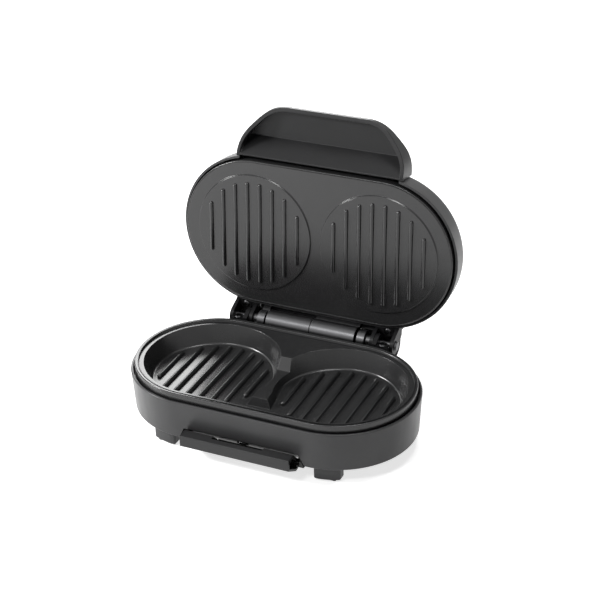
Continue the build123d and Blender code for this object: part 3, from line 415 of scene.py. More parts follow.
def keep(name: str, mesh: Mesh, body: Body, finish: Finish, replaced: Sequence[str] = (),
         sharp: Optional[float] = SHARP_ANGLE) -> bpy.types.Object:
    """Puts a finished mesh into the scene as one piece.

    Args:
        name: the piece's name.
        mesh: its mesh, already in the frame.
        body: the body it rides on.
        finish: what it is dressed in.
        replaced: the CAD nodes it stands for.
        sharp: edges over this angle, in degrees, stay sharp; None leaves the shading as it is.

    Returns:
        The piece.
    """
    mesh.name = name
    mesh.materials.clear()
    mesh.materials.append(finish.material())
    if sharp is not None:
        shade(mesh, sharp)
    piece = linked(name, mesh)
    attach(piece, body.value)
    if replaced:
        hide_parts(*replaced)
    LOG.info("%s rides on %s, %d faces", name, body.value, len(mesh.polygons))
    return piece


def shade(mesh: Mesh, sharp: float) -> None:
    """Shades a mesh smooth, but for edges over an angle in degrees."""
    mesh.shade_smooth()
    mesh.set_sharp_from_angle(angle=math.radians(sharp))


def from_bmesh(work: bmesh.types.BMesh, matrix: Matrix) -> Mesh:
    """Turns a bmesh into a mesh with outward faces, placed by a matrix."""
    bmesh.ops.recalc_face_normals(work, faces=work.faces)
    mesh = bpy.data.meshes.new("drawn")
    work.to_mesh(mesh)
    work.free()
    mesh.transform(matrix)
    return mesh


def bare_copy(node: str) -> bmesh.types.BMesh:
    """A copy of a CAD node in the frame, its triangles joined and without their stored normals."""
    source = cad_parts[node].data
    plain = bpy.data.meshes.new("plain")
    plain.from_pydata([v.co for v in source.vertices], [], [p.vertices for p in source.polygons])
    work = bmesh.new()
    work.from_mesh(plain)
    bmesh.ops.remove_doubles(work, verts=work.verts, dist=WELD)
    bmesh.ops.dissolve_degenerate(work, edges=work.edges, dist=SLIVER)
    return work


def modified(mesh: Mesh, kind: str, **settings: object) -> Mesh:
    """The mesh after one modifier.

    Args:
        mesh: the mesh.
        kind: the modifier's type.
        settings: the modifier's settings.

    Returns:
        A new mesh.
    """
    holder = linked("holder", mesh)
    modifier = holder.modifiers.new("step", kind)
    for name, value in settings.items():
        setattr(modifier, name, value)
    graph = bpy.context.evaluated_depsgraph_get()
    result = bpy.data.meshes.new_from_object(holder.evaluated_get(graph))
    bpy.data.objects.remove(holder)
    return result


def softened(mesh: Mesh, width: float, angle: float = 35.0, crease: float = 50.0) -> Mesh:
    """Rounds a mesh's sharp edges a little and keeps its flat faces flat.

    Args:
        mesh: the mesh, in metres.
        width: the rounding, in millimetres.
        angle: edges under this angle, in degrees, stay as they are.
        crease: edges over this angle, in degrees, stay sharp to the light.

    Returns:
        The rounded mesh.
    """
    rounded = modified(mesh, "BEVEL", width=width * MM, segments=2, limit_method="ANGLE",
                       angle_limit=math.radians(angle), use_clamp_overlap=False, loop_slide=False)
    shade(rounded, crease)
    return modified(rounded, "WEIGHTED_NORMAL", mode="FACE_AREA", keep_sharp=True)


def carry(node: str, body: Body, finish: Finish, edge: float = 0.0,
          change: Optional[Callable[[bmesh.types.BMesh], None]] = None) -> bpy.types.Object:
    """Stands a joined and smoothed copy in for a CAD node.

    Args:
        node: the CAD node.
        body: the body it rides on.
        finish: what it is dressed in.
        edge: rounding of its sharp edges, in millimetres.
        change: what is done to the copy first, in the body's drawing.

    Returns:
        The piece.
    """
    work = bare_copy(node)
    if change is not None:
        work.transform(body.place().inverted())
        change(work)
        work.transform(body.place())
        bmesh.ops.remove_doubles(work, verts=work.verts, dist=WELD)
        bmesh.ops.dissolve_degenerate(work, edges=work.edges, dist=WELD / 2)
    bmesh.ops.dissolve_limit(work, angle_limit=math.radians(FLAT_ANGLE), verts=work.verts, edges=work.edges)
    mesh = bpy.data.meshes.new(node)
    work.to_mesh(mesh)
    work.free()
    sharp = None if edge else SHARP_ANGLE
    return keep(f"{node}_finished", softened(mesh, edge) if edge else mesh, body, finish, [node], sharp=sharp)


def islands(node: str, body: Body) -> list[Box]:
    """Boxes of a node's separate solids, in the body's drawing, in a fixed order."""
    work = bare_copy(node)
    work.transform(body.place().inverted())
    left = set(work.verts)
    boxes = []
    while left:
        group, stack = [], [left.pop()]
        while stack:
            vert = stack.pop()
            group.append(vert.co.copy())
            for edge in vert.link_edges:
                other = edge.other_vert(vert)
                if other in left:
                    left.remove(other)
                    stack.append(other)
        low = Vector([min(p[k] for p in group) for k in range(3)])
        high = Vector([max(p[k] for p in group) for k in range(3)])
        boxes.append((low, high))
    work.free()
    return sorted(boxes, key=lambda box: tuple(round(v, 2) for v in box[0]))


def stadium_sweep(half: float, section: Outline, place: Matrix, steps: int = 48) -> Mesh:
    """A closed ring that follows a stadium: two half circles joined by straight sides.

    Args:
        half: distance of each half circle's centre from the middle, in millimetres.
        section: the ring's section, as radius and height.
        place: puts the drawing into the frame.
        steps: facets in each half circle.

    Returns:
        The ring.
    """
    work = bmesh.new()
    loops = []
    for center, first in ((half, -math.pi / 2), (-half, math.pi / 2)):
        for k in range(steps + 1):
            angle = first + math.pi * k / steps
            loops.append([
                work.verts.new((center + r * math.cos(angle), r * math.sin(angle), z)) for r, z in section])
    for ring, after in zip(loops, loops[1:] + loops[:1]):
        for k in range(len(section)):
            n = (k + 1) % len(section)
            work.faces.new((ring[k], ring[n], after[n], after[k]))
    return from_bmesh(work, place)


def turned(profile: Outline, steps: int = 64) -> bmesh.types.BMesh:
    """A closed body turned about the X axis.

    Args:
        profile: places along the axis with their radii, from end to end; it starts and ends on the axis.
        steps: facets round it.

    Returns:
        The body, in millimetres.
    """
    work = bmesh.new()
    rings = []
    for along, radius in profile:
        angles = [2 * math.pi * k / steps for k in range(steps if radius else 1)]
        rings.append([work.verts.new((along, radius * math.cos(a), radius * math.sin(a))) for a in angles])
    for first, second in zip(rings, rings[1:]):
        for k in range(steps):
            n = (k + 1) % steps
            corners = ((first, k), (first, n), (second, n), (second, k))
            unique = list(dict.fromkeys(ring[at % len(ring)] for ring, at in corners))
            if len(unique) > 2:
                work.faces.new(unique)
    return work


# Geometry Nodes


class Recipe(Wiring):
    """A Geometry Nodes tree with named inputs."""

    def __init__(self, name: str, inputs: dict[str, str]) -> None:
        """Starts a tree.

        Args:
            name: the tree's name.
            inputs: each input's name and its kind of socket, such as Float.
        """
        super().__init__(bpy.data.node_groups.new(name, "GeometryNodeTree"))
        for label, kind in inputs.items():
            self.tree.interface.new_socket(label, in_out="INPUT", socket_type=f"NodeSocket{kind}")
        self.tree.interface.new_socket("Geometry", in_out="OUTPUT", socket_type="NodeSocketGeometry")
        self.given = self.tree.nodes.new("NodeGroupInput").outputs

    def vector(self, x: object = 0.0, y: object = 0.0, z: object = 0.0) -> Socket:
        """A vector from sockets or numbers."""
        return self.node("ShaderNodeCombineXYZ", {"X": x, "Y": y, "Z": z})

    def place_parts(self) -> list[Socket]:
        """The x, y and z of each point."""
        node = self.tree.nodes.new("ShaderNodeSeparateXYZ")
        self.feed(node.inputs[0], self.node("GeometryNodeInputPosition"))
        return list(node.outputs)

    def row(self, count: object, start: object, step: object) -> Socket:
        """Points in a straight row."""
        return self.node("GeometryNodeMeshLine", {"Count": count, "Start Location": start, "Offset": step})

    def centred_row(self, count: Socket, pitch: Socket) -> Socket:
        """Points in a row along x, centred on the origin."""
        half = self.times(self.times(self.math("SUBTRACT", count, 1.0), pitch), -0.5)
        return self.row(count, self.vector(half), self.vector(pitch))

    def ball(self, segments: int, rings: int) -> Socket:
        """A ball of radius 1."""
        return self.node("GeometryNodeMeshUVSphere", {"Segments": segments, "Rings": rings, "Radius": 1.0})

    def stretched_ends(self, shape: Socket, reach: Socket) -> Socket:
        """Moves a shape's two halves apart along y, each by the reach."""
        side = self.math("SIGN", self.place_parts()[1])
        return self.node("GeometryNodeSetPosition", {
            "Geometry": shape, "Offset": self.vector(0.0, self.times(side, reach))})

    def spread(self, points: Socket, shape: Socket, turn: object = None) -> Socket:
        """Puts a shape on every point and makes it real."""
        placed = self.node("GeometryNodeInstanceOnPoints", {"Points": points, "Instance": shape, "Rotation": turn})
        return self.node("GeometryNodeRealizeInstances", {"Geometry": placed})

    def done(self, shape: Socket) -> "Recipe":
        """Ends the tree in Realize Instances and Set Material."""
        real = self.node("GeometryNodeRealizeInstances", {"Geometry": shape})
        dressed = self.node("GeometryNodeSetMaterial", {"Geometry": real, "Material": self.given["Material"]})
        end = self.tree.nodes.new("NodeGroupOutput")
        self.feed(end.inputs["Geometry"], dressed)
        return self

    def grow(self, values: dict[str, object], points: Sequence[Point] = ()) -> Mesh:
        """Runs the tree and returns a plain mesh.

        Args:
            values: the tree's inputs, by name.
            points: places for a tree that starts from points.

        Returns:
            The mesh, in the drawing's millimetres.
        """
        seed = bpy.data.meshes.new("seed")
        seed.from_pydata(list(points), [], [])
        holder = linked("holder", seed)
        modifier = holder.modifiers.new("recipe", "NODES")
        modifier.node_group = self.tree
        for socket in self.tree.interface.items_tree:
            if socket.in_out == "INPUT" and socket.name in values:
                modifier[socket.identifier] = values[socket.name]
        graph = bpy.context.evaluated_depsgraph_get()
        mesh = bpy.data.meshes.new_from_object(holder.evaluated_get(graph))
        holder.modifiers.remove(modifier)
        bpy.data.objects.remove(holder)
        return mesh


def rib_recipe() -> Recipe:
    """Round-topped ribs that fill a circle, once for each of two burger places."""
    r = Recipe("burger_ribs", {
        "Count": "Int", "Pitch": "Float", "Circle": "Float", "Width": "Float", "Height": "Float",
        "Sink": "Float", "Crown": "Float", "Burger": "Float", "Material": "Material"})
    circle, height, burger = (r.given[label] for label in ("Circle", "Height", "Burger"))
    line = r.centred_row(r.given["Count"], r.given["Pitch"])
    x = r.place_parts()[0]
    chord = r.math("SQRT", r.math("SUBTRACT", r.times(circle, circle), r.times(x, x)))
    half_width = r.times(r.given["Width"], 0.5)
    line = r.node("GeometryNodeStoreNamedAttribute", {
        "Geometry": line, "Name": "reach", "Value": r.math("SUBTRACT", chord, half_width)},
        data_type="FLOAT", domain="POINT")
    bead = r.node("GeometryNodeTransform", {
        "Geometry": r.ball(segments=32, rings=17), "Rotation": (math.pi / 2, 0.0, 0.0),
        "Scale": r.vector(half_width, height, half_width)})
    stored = r.node("GeometryNodeInputNamedAttribute", {"Name": "reach"}, data_type="FLOAT")
    ribs = r.stretched_ends(r.spread(line, bead), stored)
    x, y, z = r.place_parts()
    share = r.math("DIVIDE", r.math("MAXIMUM", z, 0.0), height)
    full = r.times(r.math("POWER", share, r.given["Crown"]), height)
    low = r.math("MAXIMUM", r.math("MINIMUM", z, 0.0), r.times(r.given["Sink"], -1.0))
    ribs = r.node("GeometryNodeSetPosition", {
        "Geometry": ribs, "Position": r.vector(x, y, r.math("ADD", full, low))})
    places = r.row(2, r.vector(r.times(burger, -1.0)), r.vector(r.times(burger, 2.0)))
    return r.done(r.spread(places, ribs))


def screw_recipe(dome: float = 0.55, blade: float = 0.24, reach: float = 1.2, groove: float = 0.16) -> Recipe:
    """Pan head screws with a cross recess and a threaded shank, their heads towards +Z before they turn.

    Args:
        dome: power that rounds the head; 1 is half a ball and less is flatter.
        blade: width of the recess's arms, as a share of their length.
        reach: height of the recess's cutter, which stands half out of the head, as a share of the head's.
        groove: depth of the thread, as a share of the shank's radius.

    Returns:
        The recipe.
    """
    r = Recipe("cross_head_screws", {
        "Geometry": "Geometry", "Head Radius": "Float", "Head Height": "Float", "Shank Radius": "Float",
        "Shank Length": "Float", "Thread Pitch": "Float", "Recess": "Float", "Turn": "Vector",
        "Material": "Material"})
    head_r, head_h = r.given["Head Radius"], r.given["Head Height"]
    x, y, z = r.place_parts()
    top = r.times(r.math("POWER", r.math("MAXIMUM", z, 0.0), dome), head_h)
    head = r.node("GeometryNodeSetPosition", {
        "Geometry": r.ball(segments=40, rings=20),
        "Position": r.vector(r.times(x, head_r), r.times(y, head_r), top)})
    recess = r.given["Recess"]
    deep = r.times(head_h, reach)
    arm = r.node("GeometryNodeMeshCube", {"Size": r.vector(recess, r.times(recess, blade), deep)})
    for angle in (0.0, math.pi / 2):
        cutter = r.node("GeometryNodeTransform", {
            "Geometry": arm, "Translation": r.vector(0.0, 0.0, head_h), "Rotation": (0.0, 0.0, angle)})
        cut = r.tree.nodes.new("GeometryNodeMeshBoolean")
        cut.operation = "DIFFERENCE"
        r.feed(cut.inputs["Mesh 1"], head)
        r.feed(cut.inputs["Mesh 2"], cutter)
        head = cut.outputs[0]
    length, pitch = r.given["Shank Length"], r.given["Thread Pitch"]
    rounds = r.times(r.math("ROUND", r.math("DIVIDE", length, pitch)), 2.0)
    rod = r.node("GeometryNodeMeshCylinder", {
        "Vertices": 20, "Side Segments": rounds, "Radius": 1.0, "Depth": length})
    x, y, z = r.place_parts()
    half = r.times(length, 0.5)
    step = r.math("DIVIDE", r.math("ADD", z, half), r.times(pitch, 0.5))
    depth = r.times(r.math("MODULO", r.math("ROUND", step), 2.0), groove)
    radius = r.times(r.given["Shank Radius"], r.math("SUBTRACT", 1.0, depth))
    rod = r.node("GeometryNodeSetPosition", {
        "Geometry": rod,
        "Position": r.vector(r.times(x, radius), r.times(y, radius),
                             r.math("SUBTRACT", z, half))})
    both = r.tree.nodes.new("GeometryNodeJoinGeometry")
    r.feed(both.inputs[0], head)
    r.feed(both.inputs[0], rod)
    return r.done(r.spread(r.given["Geometry"], both.outputs[0], r.given["Turn"]))


def tread_recipe() -> Recipe:
    """Cross treads under a foot pad."""
    r = Recipe("pad_treads", {
        "Count": "Int", "Pitch": "Float", "Width": "Float", "Length": "Float", "Height": "Float",
        "Material": "Material"})
    height = r.given["Height"]
    bar = r.node("GeometryNodeTransform", {
        "Geometry": r.ball(segments=16, rings=9), "Rotation": (math.pi / 2, 0.0, 0.0),
        "Scale": r.vector(r.times(r.given["Width"], 0.5), height, height)})
    reach = r.math("SUBTRACT", r.times(r.given["Length"], 0.5), height)
    return r.done(r.stretched_ends(r.spread(r.centred_row(r.given["Count"], r.given["Pitch"]), bar), reach))


# Sub-assemblies


@dataclass
class Shells:
    """Both housings, the bottom cover and the cord gland."""

    edge: float = 0.45
    cover_edge: float = 0.3

    def build(self) -> None:
        """Makes and dresses the pieces."""
        carry("lower_housing", Body.BASE, Finish.HOUSING, self.edge)
        carry("upper_housing", Body.LID, Finish.HOUSING, self.edge)
        carry("bottom_cover", Body.BASE, Finish.COVER, self.cover_edge)
        carry("cord_gland", Body.BASE, Finish.RUBBER)


@dataclass
class Plates:
    """The two cooking plates, with their rounded ribs."""

    edge: float = 0.25
    burger: float = 64.5
    pitch: float = 13.0
    count: int = 8
    circle: float = 52.3
    sink: float = 0.4
    floor_z: float = 39.0
    lower_width: float = 4.4
    lower_height: float = 3.2
    disc_z: float = 58.9
    upper_width: float = 4.0
    upper_height: float = 2.3
    lower_crown: float = 0.8
    upper_crown: float = 1.0
    plate_r: float = 73.5
    bead_width: float = 4.0
    bead_z: Range = (57.7, 60.0)
    rim_z: Range = (63.0, 60.4)
    rim_width: float = 1.6
    rim_overlap: float = 0.05
    shoulder: float = 0.9
    shoulder_steps: int = 6
    rib_margin: float = 1.0
    rib_slack: float = 0.1

    def under_ribs(self, x: float, y: float) -> bool:
        """Whether a place lies in one of the two circles that the ribs fill."""
        return math.hypot(abs(x) - self.burger, y) < self.circle + self.rib_margin

    def flatten_lower(self, work: bmesh.types.BMesh) -> None:
        """Takes the plain ribs and the bead off the lower plate."""
        for vert in work.verts:
            x, y, z = vert.co
            if self.floor_z < z < self.floor_z + self.lower_height + self.rib_slack and self.under_ribs(x, y):
                vert.co.z = self.floor_z
            vert.co.z = min(vert.co.z, self.bead_z[0])

    def flatten_discs(self, work: bmesh.types.BMesh) -> None:
        """Takes the plain ribs off the lid's discs."""
        for vert in work.verts:
            x, y, z = vert.co
            if self.disc_z - self.upper_height - self.rib_slack < z < self.disc_z and self.under_ribs(x, y):
                vert.co.z = self.disc_z

    def ribs(self, width: float, height: float, crown: float, place: Matrix) -> Mesh:
        """The ribs of both burger places, put into the frame; a crown of 1 is round, less is flatter."""
        mesh = rib_recipe().grow({
            "Count": self.count, "Pitch": self.pitch, "Circle": self.circle, "Width": width, "Height": height,
            "Sink": self.sink, "Crown": crown, "Burger": self.burger, "Material": Finish.PLATE.material()})
        mesh.transform(place)
        return mesh

    def ring_section(self, inner: float, outer: float, foot: float, crown: float) -> Outline:
        """Section of a ring between two radii, from a foot to a crown with round shoulders.

        Known fault: the inner shoulder runs from the crown down, so the outline crosses itself there.
        """
        lift = math.copysign(self.shoulder, crown - foot)
        angles = [math.pi / 2 * k / self.shoulder_steps for k in range(self.shoulder_steps + 1)]
        curve = [(self.shoulder * (1 - math.sin(a)), crown - lift * (1 - math.cos(a))) for a in angles]
        left = [(inner + r, z) for r, z in curve]
        right = [(outer - r, z) for r, z in curve]
        return [(inner, foot), *left, *right, (outer, foot)]

    def add(self, name: str, mesh: Mesh, body: Body) -> None:
        """Keeps a piece that is drawn on a plate and coated like it."""
        keep(name, mesh, body, Finish.PLATE, sharp=ROUND_ANGLE)

    def build(self) -> None:
        """Makes and dresses the pieces."""
        carry("lower_plate", Body.BASE, Finish.PLATE, self.edge, self.flatten_lower)
        bead = self.ring_section(self.plate_r - self.bead_width, self.plate_r, *self.bead_z)
        self.add("lower_plate_bead", stadium_sweep(self.burger, bead, Body.BASE.place()), Body.BASE)
        rim = self.ring_section(self.plate_r - self.rim_width, self.plate_r + self.rim_overlap, *self.rim_z)
        self.add("upper_plate_rim", stadium_sweep(self.burger, rim, Body.LID.place()), Body.LID)
        carry("upper_plate", Body.LID, Finish.PLATE, self.edge, self.flatten_discs)
        place = Body.BASE.place() @ Matrix.Translation((0, 0, self.floor_z))
        ribs = self.ribs(self.lower_width, self.lower_height, self.lower_crown, place)
        self.add("lower_plate_ribs", ribs, Body.BASE)
        place = Body.LID.place() @ Matrix.Translation((0, 0, self.disc_z)) @ Matrix.Rotation(math.pi, 4, "Y")
        ribs = self.ribs(self.upper_width, self.upper_height, self.upper_crown, place)
        self.add("upper_plate_ribs", ribs, Body.LID)


@dataclass
class Hinge:
    """Leaves with their turned sleeves, brackets, pin, bushes, a guard behind the sleeves and two cups."""

    barrel: Range = (0.4, 46.5)
    barrel_r: float = 11.0
    knuckle: Range = (49.0, 56.5)
    knuckle_r: float = 9.5
    sleeve: float = 0.06
    chamfer: float = 0.5
    guard_half: float = 61.6
    guard_y: Range = (76.6, 84.6)
    guard_z: Range = (67.0, 69.0)
    guard_steps: int = 8
    cup_r: float = 11.6
    cup_wall: float = 1.6
    cup_x: Range = (47.2, 86.5)
    cup_sweep: Range = (128.0, 8.0)
    cup_steps: int = 24

    def ring(self, start: float, end: float, radius: float, body: Body) -> Mesh:
        """A turned sleeve with broken edges over one length of the barrel."""
        shell = radius + self.sleeve
        profile = [(start, 0.0), (start, shell - self.chamfer), (start + self.chamfer, shell),
                   (end - self.chamfer, shell), (end, shell - self.chamfer), (end, 0.0)]
        return from_bmesh(turned(profile), body.place() @ Matrix.Translation((0, HINGE_Y, HINGE_Z)))

    def guard(self) -> Mesh:
        """A lipped plate under the lid's leaf that hides the gap beside the barrel."""
        low, high = self.guard_z
        front, back = self.guard_y
        radius = (high - low) / 2
        outline = [(front, low), (front, high)]
        for step in range(self.guard_steps + 1):
            angle = math.pi / 2 - math.pi * step / self.guard_steps
            outline.append((back - radius + radius * math.cos(angle), (low + high) / 2 + radius * math.sin(angle)))
        return self.bar(outline, (-self.guard_half, self.guard_half))

    def cup(self, sign: int) -> Mesh:
        """A round cover over one bracket's arms.

        Args:
            sign: 1 for the bracket at +X, -1 for the other.

        Returns:
            Its mesh, in the frame.
        """
        start, end = (math.radians(v) for v in self.cup_sweep)
        outline = []
        for radius, first, last in ((self.cup_r + self.cup_wall, start, end), (self.cup_r, end, start)):
            for step in range(self.cup_steps + 1):
                angle = first + (last - first) * step / self.cup_steps
                outline.append((HINGE_Y + radius * math.cos(angle), HINGE_Z + radius * math.sin(angle)))
        return self.bar(outline, sorted(sign * x for x in self.cup_x))

    def bar(self, outline: Outline, span: Sequence[float]) -> Mesh:
        """An outline in y and z, drawn out along x and put into the lid's frame."""
        work = bmesh.new()
        ends = [[work.verts.new((x, y, z)) for y, z in outline] for x in span]
        for k in range(len(outline)):
            n = (k + 1) % len(outline)
            work.faces.new((ends[0][k], ends[0][n], ends[1][n], ends[1][k]))
        work.faces.new(ends[0])
        work.faces.new(list(reversed(ends[1])))
        return from_bmesh(work, Body.LID.place())

    def build(self) -> None:
        """Makes and dresses the pieces."""
        carry("base_hinge_leaf", Body.BASE, Finish.BARREL)
        carry("lid_hinge_leaf", Body.LID, Finish.BARREL)
        (low, high), (near, far) = self.barrel, self.knuckle
        sleeves = {
            "base_barrel_sleeve": (-high, -low, self.barrel_r, Body.BASE),
            "lid_barrel_sleeve": (low, high, self.barrel_r, Body.LID),
            "base_knuckle_sleeve": (near, far, self.knuckle_r, Body.BASE),
            "lid_knuckle_sleeve": (-far, -near, self.knuckle_r, Body.LID),
        }
        for name, (start, end, radius, body) in sleeves.items():
            keep(name, self.ring(start, end, radius, body), body, Finish.BARREL)
        keep("hinge_guard", self.guard(), Body.LID, Finish.BRACKET)
        for name, sign in (("left", -1), ("right", 1)):
            keep(f"hinge_cup_{name}", self.cup(sign), Body.LID, Finish.BRACKET)
        carry("hinge_pin", Body.BASE, Finish.BARREL)
        carry("hinge_bushes", Body.BASE, Finish.BARREL)
        for name in ("left", "right"):
            carry(f"base_hinge_bracket_{name}", Body.BASE, Finish.BRACKET)
            carry(f"lid_hinge_bracket_{name}", Body.LID, Finish.BRACKET)


@dataclass
class Screws:
    """Cross-head screws on every node that holds screws."""

    head_height: float = 2.0
    shank_radius: float = 1.85
    thread_pitch: float = 0.9
    recess: float = 3.4
    sharp: float = 40.0

    def build_node(self, node: str, body: Body, axis: Point, finish: Finish) -> None:
        """Draws one node's screws where its own solids lie.

        Args:
            node: the CAD node.
            body: the body it rides on.
            axis: where the heads point, in the body's drawing.
            finish: what they are dressed in.
        """
        way = Vector(axis)
        k = [abs(v) for v in axis].index(1.0)
        side = (k + 1) % 3
        seats = []
        for low, high in islands(node, body):
            seat = (low + high) / 2
            seat[k] = (high[k] - self.head_height) if way[k] > 0 else (low[k] + self.head_height)
            seats.append(tuple(seat))
        turn = Vector((0, 0, 1)).rotation_difference(way).to_euler()
        mesh = screw_recipe().grow({
            "Head Radius": (high[side] - low[side]) / 2, "Head Height": self.head_height,
            "Shank Radius": self.shank_radius, "Shank Length": high[k] - low[k] - self.head_height,
            "Thread Pitch": self.thread_pitch, "Recess": self.recess, "Turn": tuple(turn),
            "Material": finish.material()}, seats)
        mesh.transform(body.place())
        keep(f"{node}_finished", mesh, body, finish, [node], sharp=self.sharp)

    def build(self) -> None:
        """Draws every group of screws."""
        self.build_node("base_hinge_screws", Body.BASE, (0, 0, 1), Finish.SCREW)
        self.build_node("lid_hinge_screws", Body.LID, (0, 0, -1), Finish.SCREW)
        for node in ("bottom_cover_screws", "lower_plate_screws", "lower_shield_screws"):
            self.build_node(node, Body.BASE, (0, 0, -1), Finish.PIN)
        for node in ("upper_plate_screws", "upper_shield_screws"):
            self.build_node(node, Body.LID, (0, 0, 1), Finish.PIN)
        self.build_node("handle_screws", Body.LID, (0, 1, 0), Finish.PIN)


@dataclass
class Feet:
    """Four feet with treaded rubber pads."""

    names: tuple[str, ...] = ("front_left_foot", "front_right_foot", "rear_left_foot", "rear_right_foot")
    edge: float = 0.4
    tread: float = 0.7
    tread_count: int = 6
    tread_share: float = 0.55
    margin: float = 1.5

    def raise_sole(self, work: bmesh.types.BMesh) -> None:
        """Lifts a pad's sole by the height of its treads."""
        for vert in work.verts:
            if vert.co.z < self.tread:
                vert.co.z = self.tread

    def build(self) -> None:
        """Makes and dresses the pieces."""
        for name in self.names:
            carry(name, Body.BASE, Finish.HOUSING, self.edge)
            pad = f"{name}_pad"
            carry(pad, Body.BASE, Finish.RUBBER, change=self.raise_sole)
            low, high = islands(pad, Body.BASE)[0]
            size = high - low
            pitch = (size.x - 2 * self.margin) / self.tread_count
            mesh = tread_recipe().grow({
                "Count": self.tread_count, "Pitch": pitch, "Width": pitch * self.tread_share,
                "Length": size.y - self.margin, "Height": self.tread, "Material": Finish.RUBBER.material()})
            middle = (low + high) / 2
            mesh.transform(Body.BASE.place() @ Matrix.Translation((middle.x, middle.y, self.tread)))
            keep(f"{pad}_treads", mesh, Body.BASE, Finish.RUBBER, sharp=ROUND_ANGLE)


@dataclass
class Fittings:
    """Handle, tray, rails and lamps."""

    handle_edge: float = 0.6
    tray_edge: float = 0.35
    lens_edge: float = 0.3
    # Size of the dark wall of painted shade behind the tray's notch, in millimetres.
    shade_blocker_x: Range = (-25.4, 25.4)
    shade_blocker_y: Range = (-70.0, -69.4)
    shade_blocker_z: Range = (9.0, 18.4)
    shade_blocker_edge: float = 0.15

    def shade_blocker(self) -> Mesh:
        """A low dark wall on the tray's back edge, behind its notch, put there as painted shade: it hides the
        glowing floor that would show through the notch where the base's shadow falls.
        """
        work = bmesh.new()
        bmesh.ops.create_cube(work, size=1.0)
        for vert in work.verts:
            vert.co = [low + (high - low) * (share + 0.5)
                       for (low, high), share in zip((self.shade_blocker_x, self.shade_blocker_y, self.shade_blocker_z), vert.co)]
        return softened(from_bmesh(work, Body.TRAY.place()), self.shade_blocker_edge)

    def build(self) -> None:
        """Makes and dresses the pieces."""
        # A dark wall of painted shade behind the tray's notch, in the tray's moulding.
        keep("drip_tray_shade_blocker", self.shade_blocker(), Body.TRAY, Finish.TRAY, sharp=None)
        carry("lid_handle", Body.LID, Finish.HANDLE, self.handle_edge)
        carry("drip_tray", Body.TRAY, Finish.TRAY, self.tray_edge)
        for name in ("left", "right"):
            carry(f"tray_rail_{name}", Body.BASE, Finish.COVER, self.tray_edge)
        carry("power_lamp_lens", Body.LID, Finish.RED_LENS, self.lens_edge)
        carry("ready_lamp_lens", Body.LID, Finish.GREEN_LENS, self.lens_edge)


@dataclass
class InnerPieces:
    """What the shells hide: CAD nodes that keep their shape and get a finish."""

    finishes: dict[str, Finish] = field(default_factory=lambda: {
        "lower_heating_element": Finish.SHEATH, "upper_heating_element": Finish.SHEATH,
        "lower_heat_shield": Finish.SHEET, "upper_heat_shield": Finish.SHEET,
        "thermostat": Finish.CERAMIC, "terminal_block": Finish.CERAMIC, "upper_terminal_block": Finish.CERAMIC,
        "thermal_fuse": Finish.FUSE, "power_lamp": Finish.LAMP, "ready_lamp": Finish.LAMP,
    })

    def build(self) -> None:
        """Dresses the nodes."""
        for node, finish in self.finishes.items():
            for material_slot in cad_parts[node].material_slots:
                material_slot.material = finish.material()
            LOG.info("%s keeps its shape and gets %s", node, finish.value.name)


# Studio


@dataclass(frozen=True)
class Softbox:
    """A square soft lamp: its place and size are in metres, its power in watts."""

    name: str
    place: Point
    size: float
    power: float


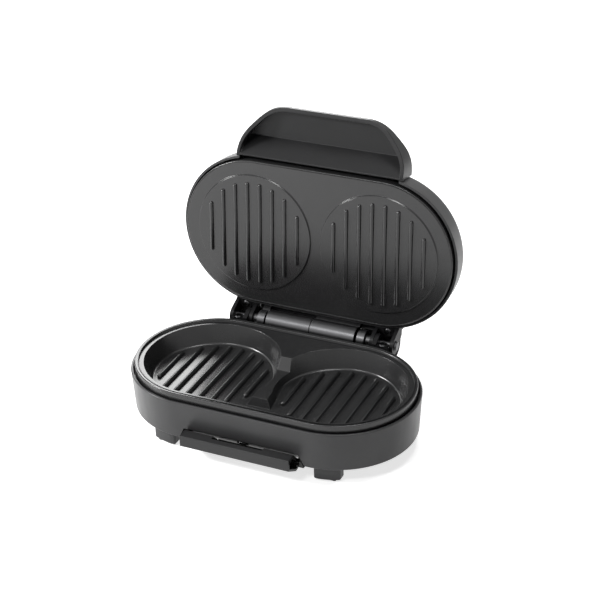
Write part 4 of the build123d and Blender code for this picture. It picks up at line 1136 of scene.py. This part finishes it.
@dataclass
class Studio:
    """Pale floor, soft lights and the camera."""

    azimuth: float = 24.846
    elevation: float = 28.596
    roll: float = -1.443
    sensor_mm: float = 36.0
    focal_mm: float = 96.043
    clip: Range = (0.05, 50.0)
    eye: Point = (560.2, -1148.8 + FRAME_Y, 828.9)
    floor_half: float = 12.0
    floor_drop: float = 0.0002
    floor_color: Point = (0.86, 0.86, 0.86)
    floor_roughness: float = 0.9
    floor_specular: float = 0.1
    floor_glow: float = 0.72
    world_light: float = 0.09
    aim: Point = (0.0, 0.0, 0.1)
    lamps: tuple[Softbox, ...] = (
        Softbox("left_softbox", (-1.6, -0.72, 1.05), 0.4, 48.0),
        Softbox("rear_softbox", (-0.87, 1.48, 1.07), 0.9, 20.0),
        Softbox("top_softbox", (-0.5, -1.3, 1.7), 0.4, 12.0),
        Softbox("crest_softbox", (0.25, 0.15, 1.9), 0.5, 12.0),
    )

    def camera(self) -> None:
        """Places the camera at the photograph's viewing angle."""
        data = bpy.data.cameras.new("viewpoint")
        data.sensor_fit = "HORIZONTAL"
        data.sensor_width = self.sensor_mm
        data.lens = self.focal_mm
        data.clip_start, data.clip_end = self.clip
        eye = linked("viewpoint", data)
        a, e, r = (math.radians(v) for v in (self.azimuth, self.elevation, self.roll))
        ahead = Vector((-math.sin(a) * math.cos(e), math.cos(a) * math.cos(e), -math.sin(e)))
        right = Vector((math.cos(a), math.sin(a), 0.0))
        up = right.cross(ahead)
        x = right * math.cos(r) + up * math.sin(r)
        y = up * math.cos(r) - right * math.sin(r)
        matrix = Matrix((x, y, -ahead)).transposed().to_4x4()
        matrix.translation = Vector(self.eye) * MM
        eye.matrix_world = matrix
        bpy.context.scene.camera = eye

    def floor(self) -> None:
        """A wide pale floor that looks white where no shadow falls on it."""
        mesh = bpy.data.meshes.new("studio_floor")
        s = self.floor_half
        mesh.from_pydata([(-s, -s, 0), (s, -s, 0), (s, s, 0), (-s, s, 0)], [], [(0, 1, 2, 3)])
        g = Graph("pale_table")
        g.set(Base_Color=(*self.floor_color, 1.0), Roughness=self.floor_roughness,
              Specular_IOR_Level=self.floor_specular, Emission_Color=(1.0, 1.0, 1.0, 1.0),
              Emission_Strength=g.times(g.background_rays(), self.floor_glow))
        mesh.materials.append(g.material)
        floor = linked("studio_floor", mesh)
        floor.location.z = -self.floor_drop

    def lamp(self, box: Softbox) -> None:
        """Hangs one soft lamp that points at the appliance."""
        data = bpy.data.lights.new(box.name, "AREA")
        data.shape = "RECTANGLE"
        data.size = data.size_y = box.size
        data.energy = box.power
        lamp = linked(box.name, data)
        lamp.location = box.place
        ahead = Vector(self.aim) - Vector(box.place)
        lamp.rotation_euler = ahead.to_track_quat("-Z", "Y").to_euler()

    def world(self) -> None:
        """Even white surroundings: full white where they are seen, weak as light."""
        world = bpy.data.worlds.new("studio_world")
        world.use_nodes = True
        sky = Wiring(world.node_tree)
        back = sky.tree.nodes["Background"]
        sky.feed(back.inputs["Color"], (1.0, 1.0, 1.0, 1.0))
        sky.feed(back.inputs["Strength"], sky.ramp(sky.background_rays(), (0.0, 1.0), (self.world_light, 1.0)))
        bpy.context.scene.world = world

    def build(self) -> None:
        """Sets up everything round the appliance."""
        self.camera()
        self.floor()
        self.world()
        for box in self.lamps:
            self.lamp(box)
        bpy.context.scene.view_settings.view_transform = "Standard"


def main() -> None:
    """Builds the studio and every sub-assembly."""
    logging.basicConfig(level=logging.INFO, format="%(message)s")
    Studio().build()
    for assembly in (Shells(), Plates(), Hinge(), Screws(), Feet(), Fittings(), InnerPieces()):
        assembly.build()


if __name__ == "__main__":
    main()
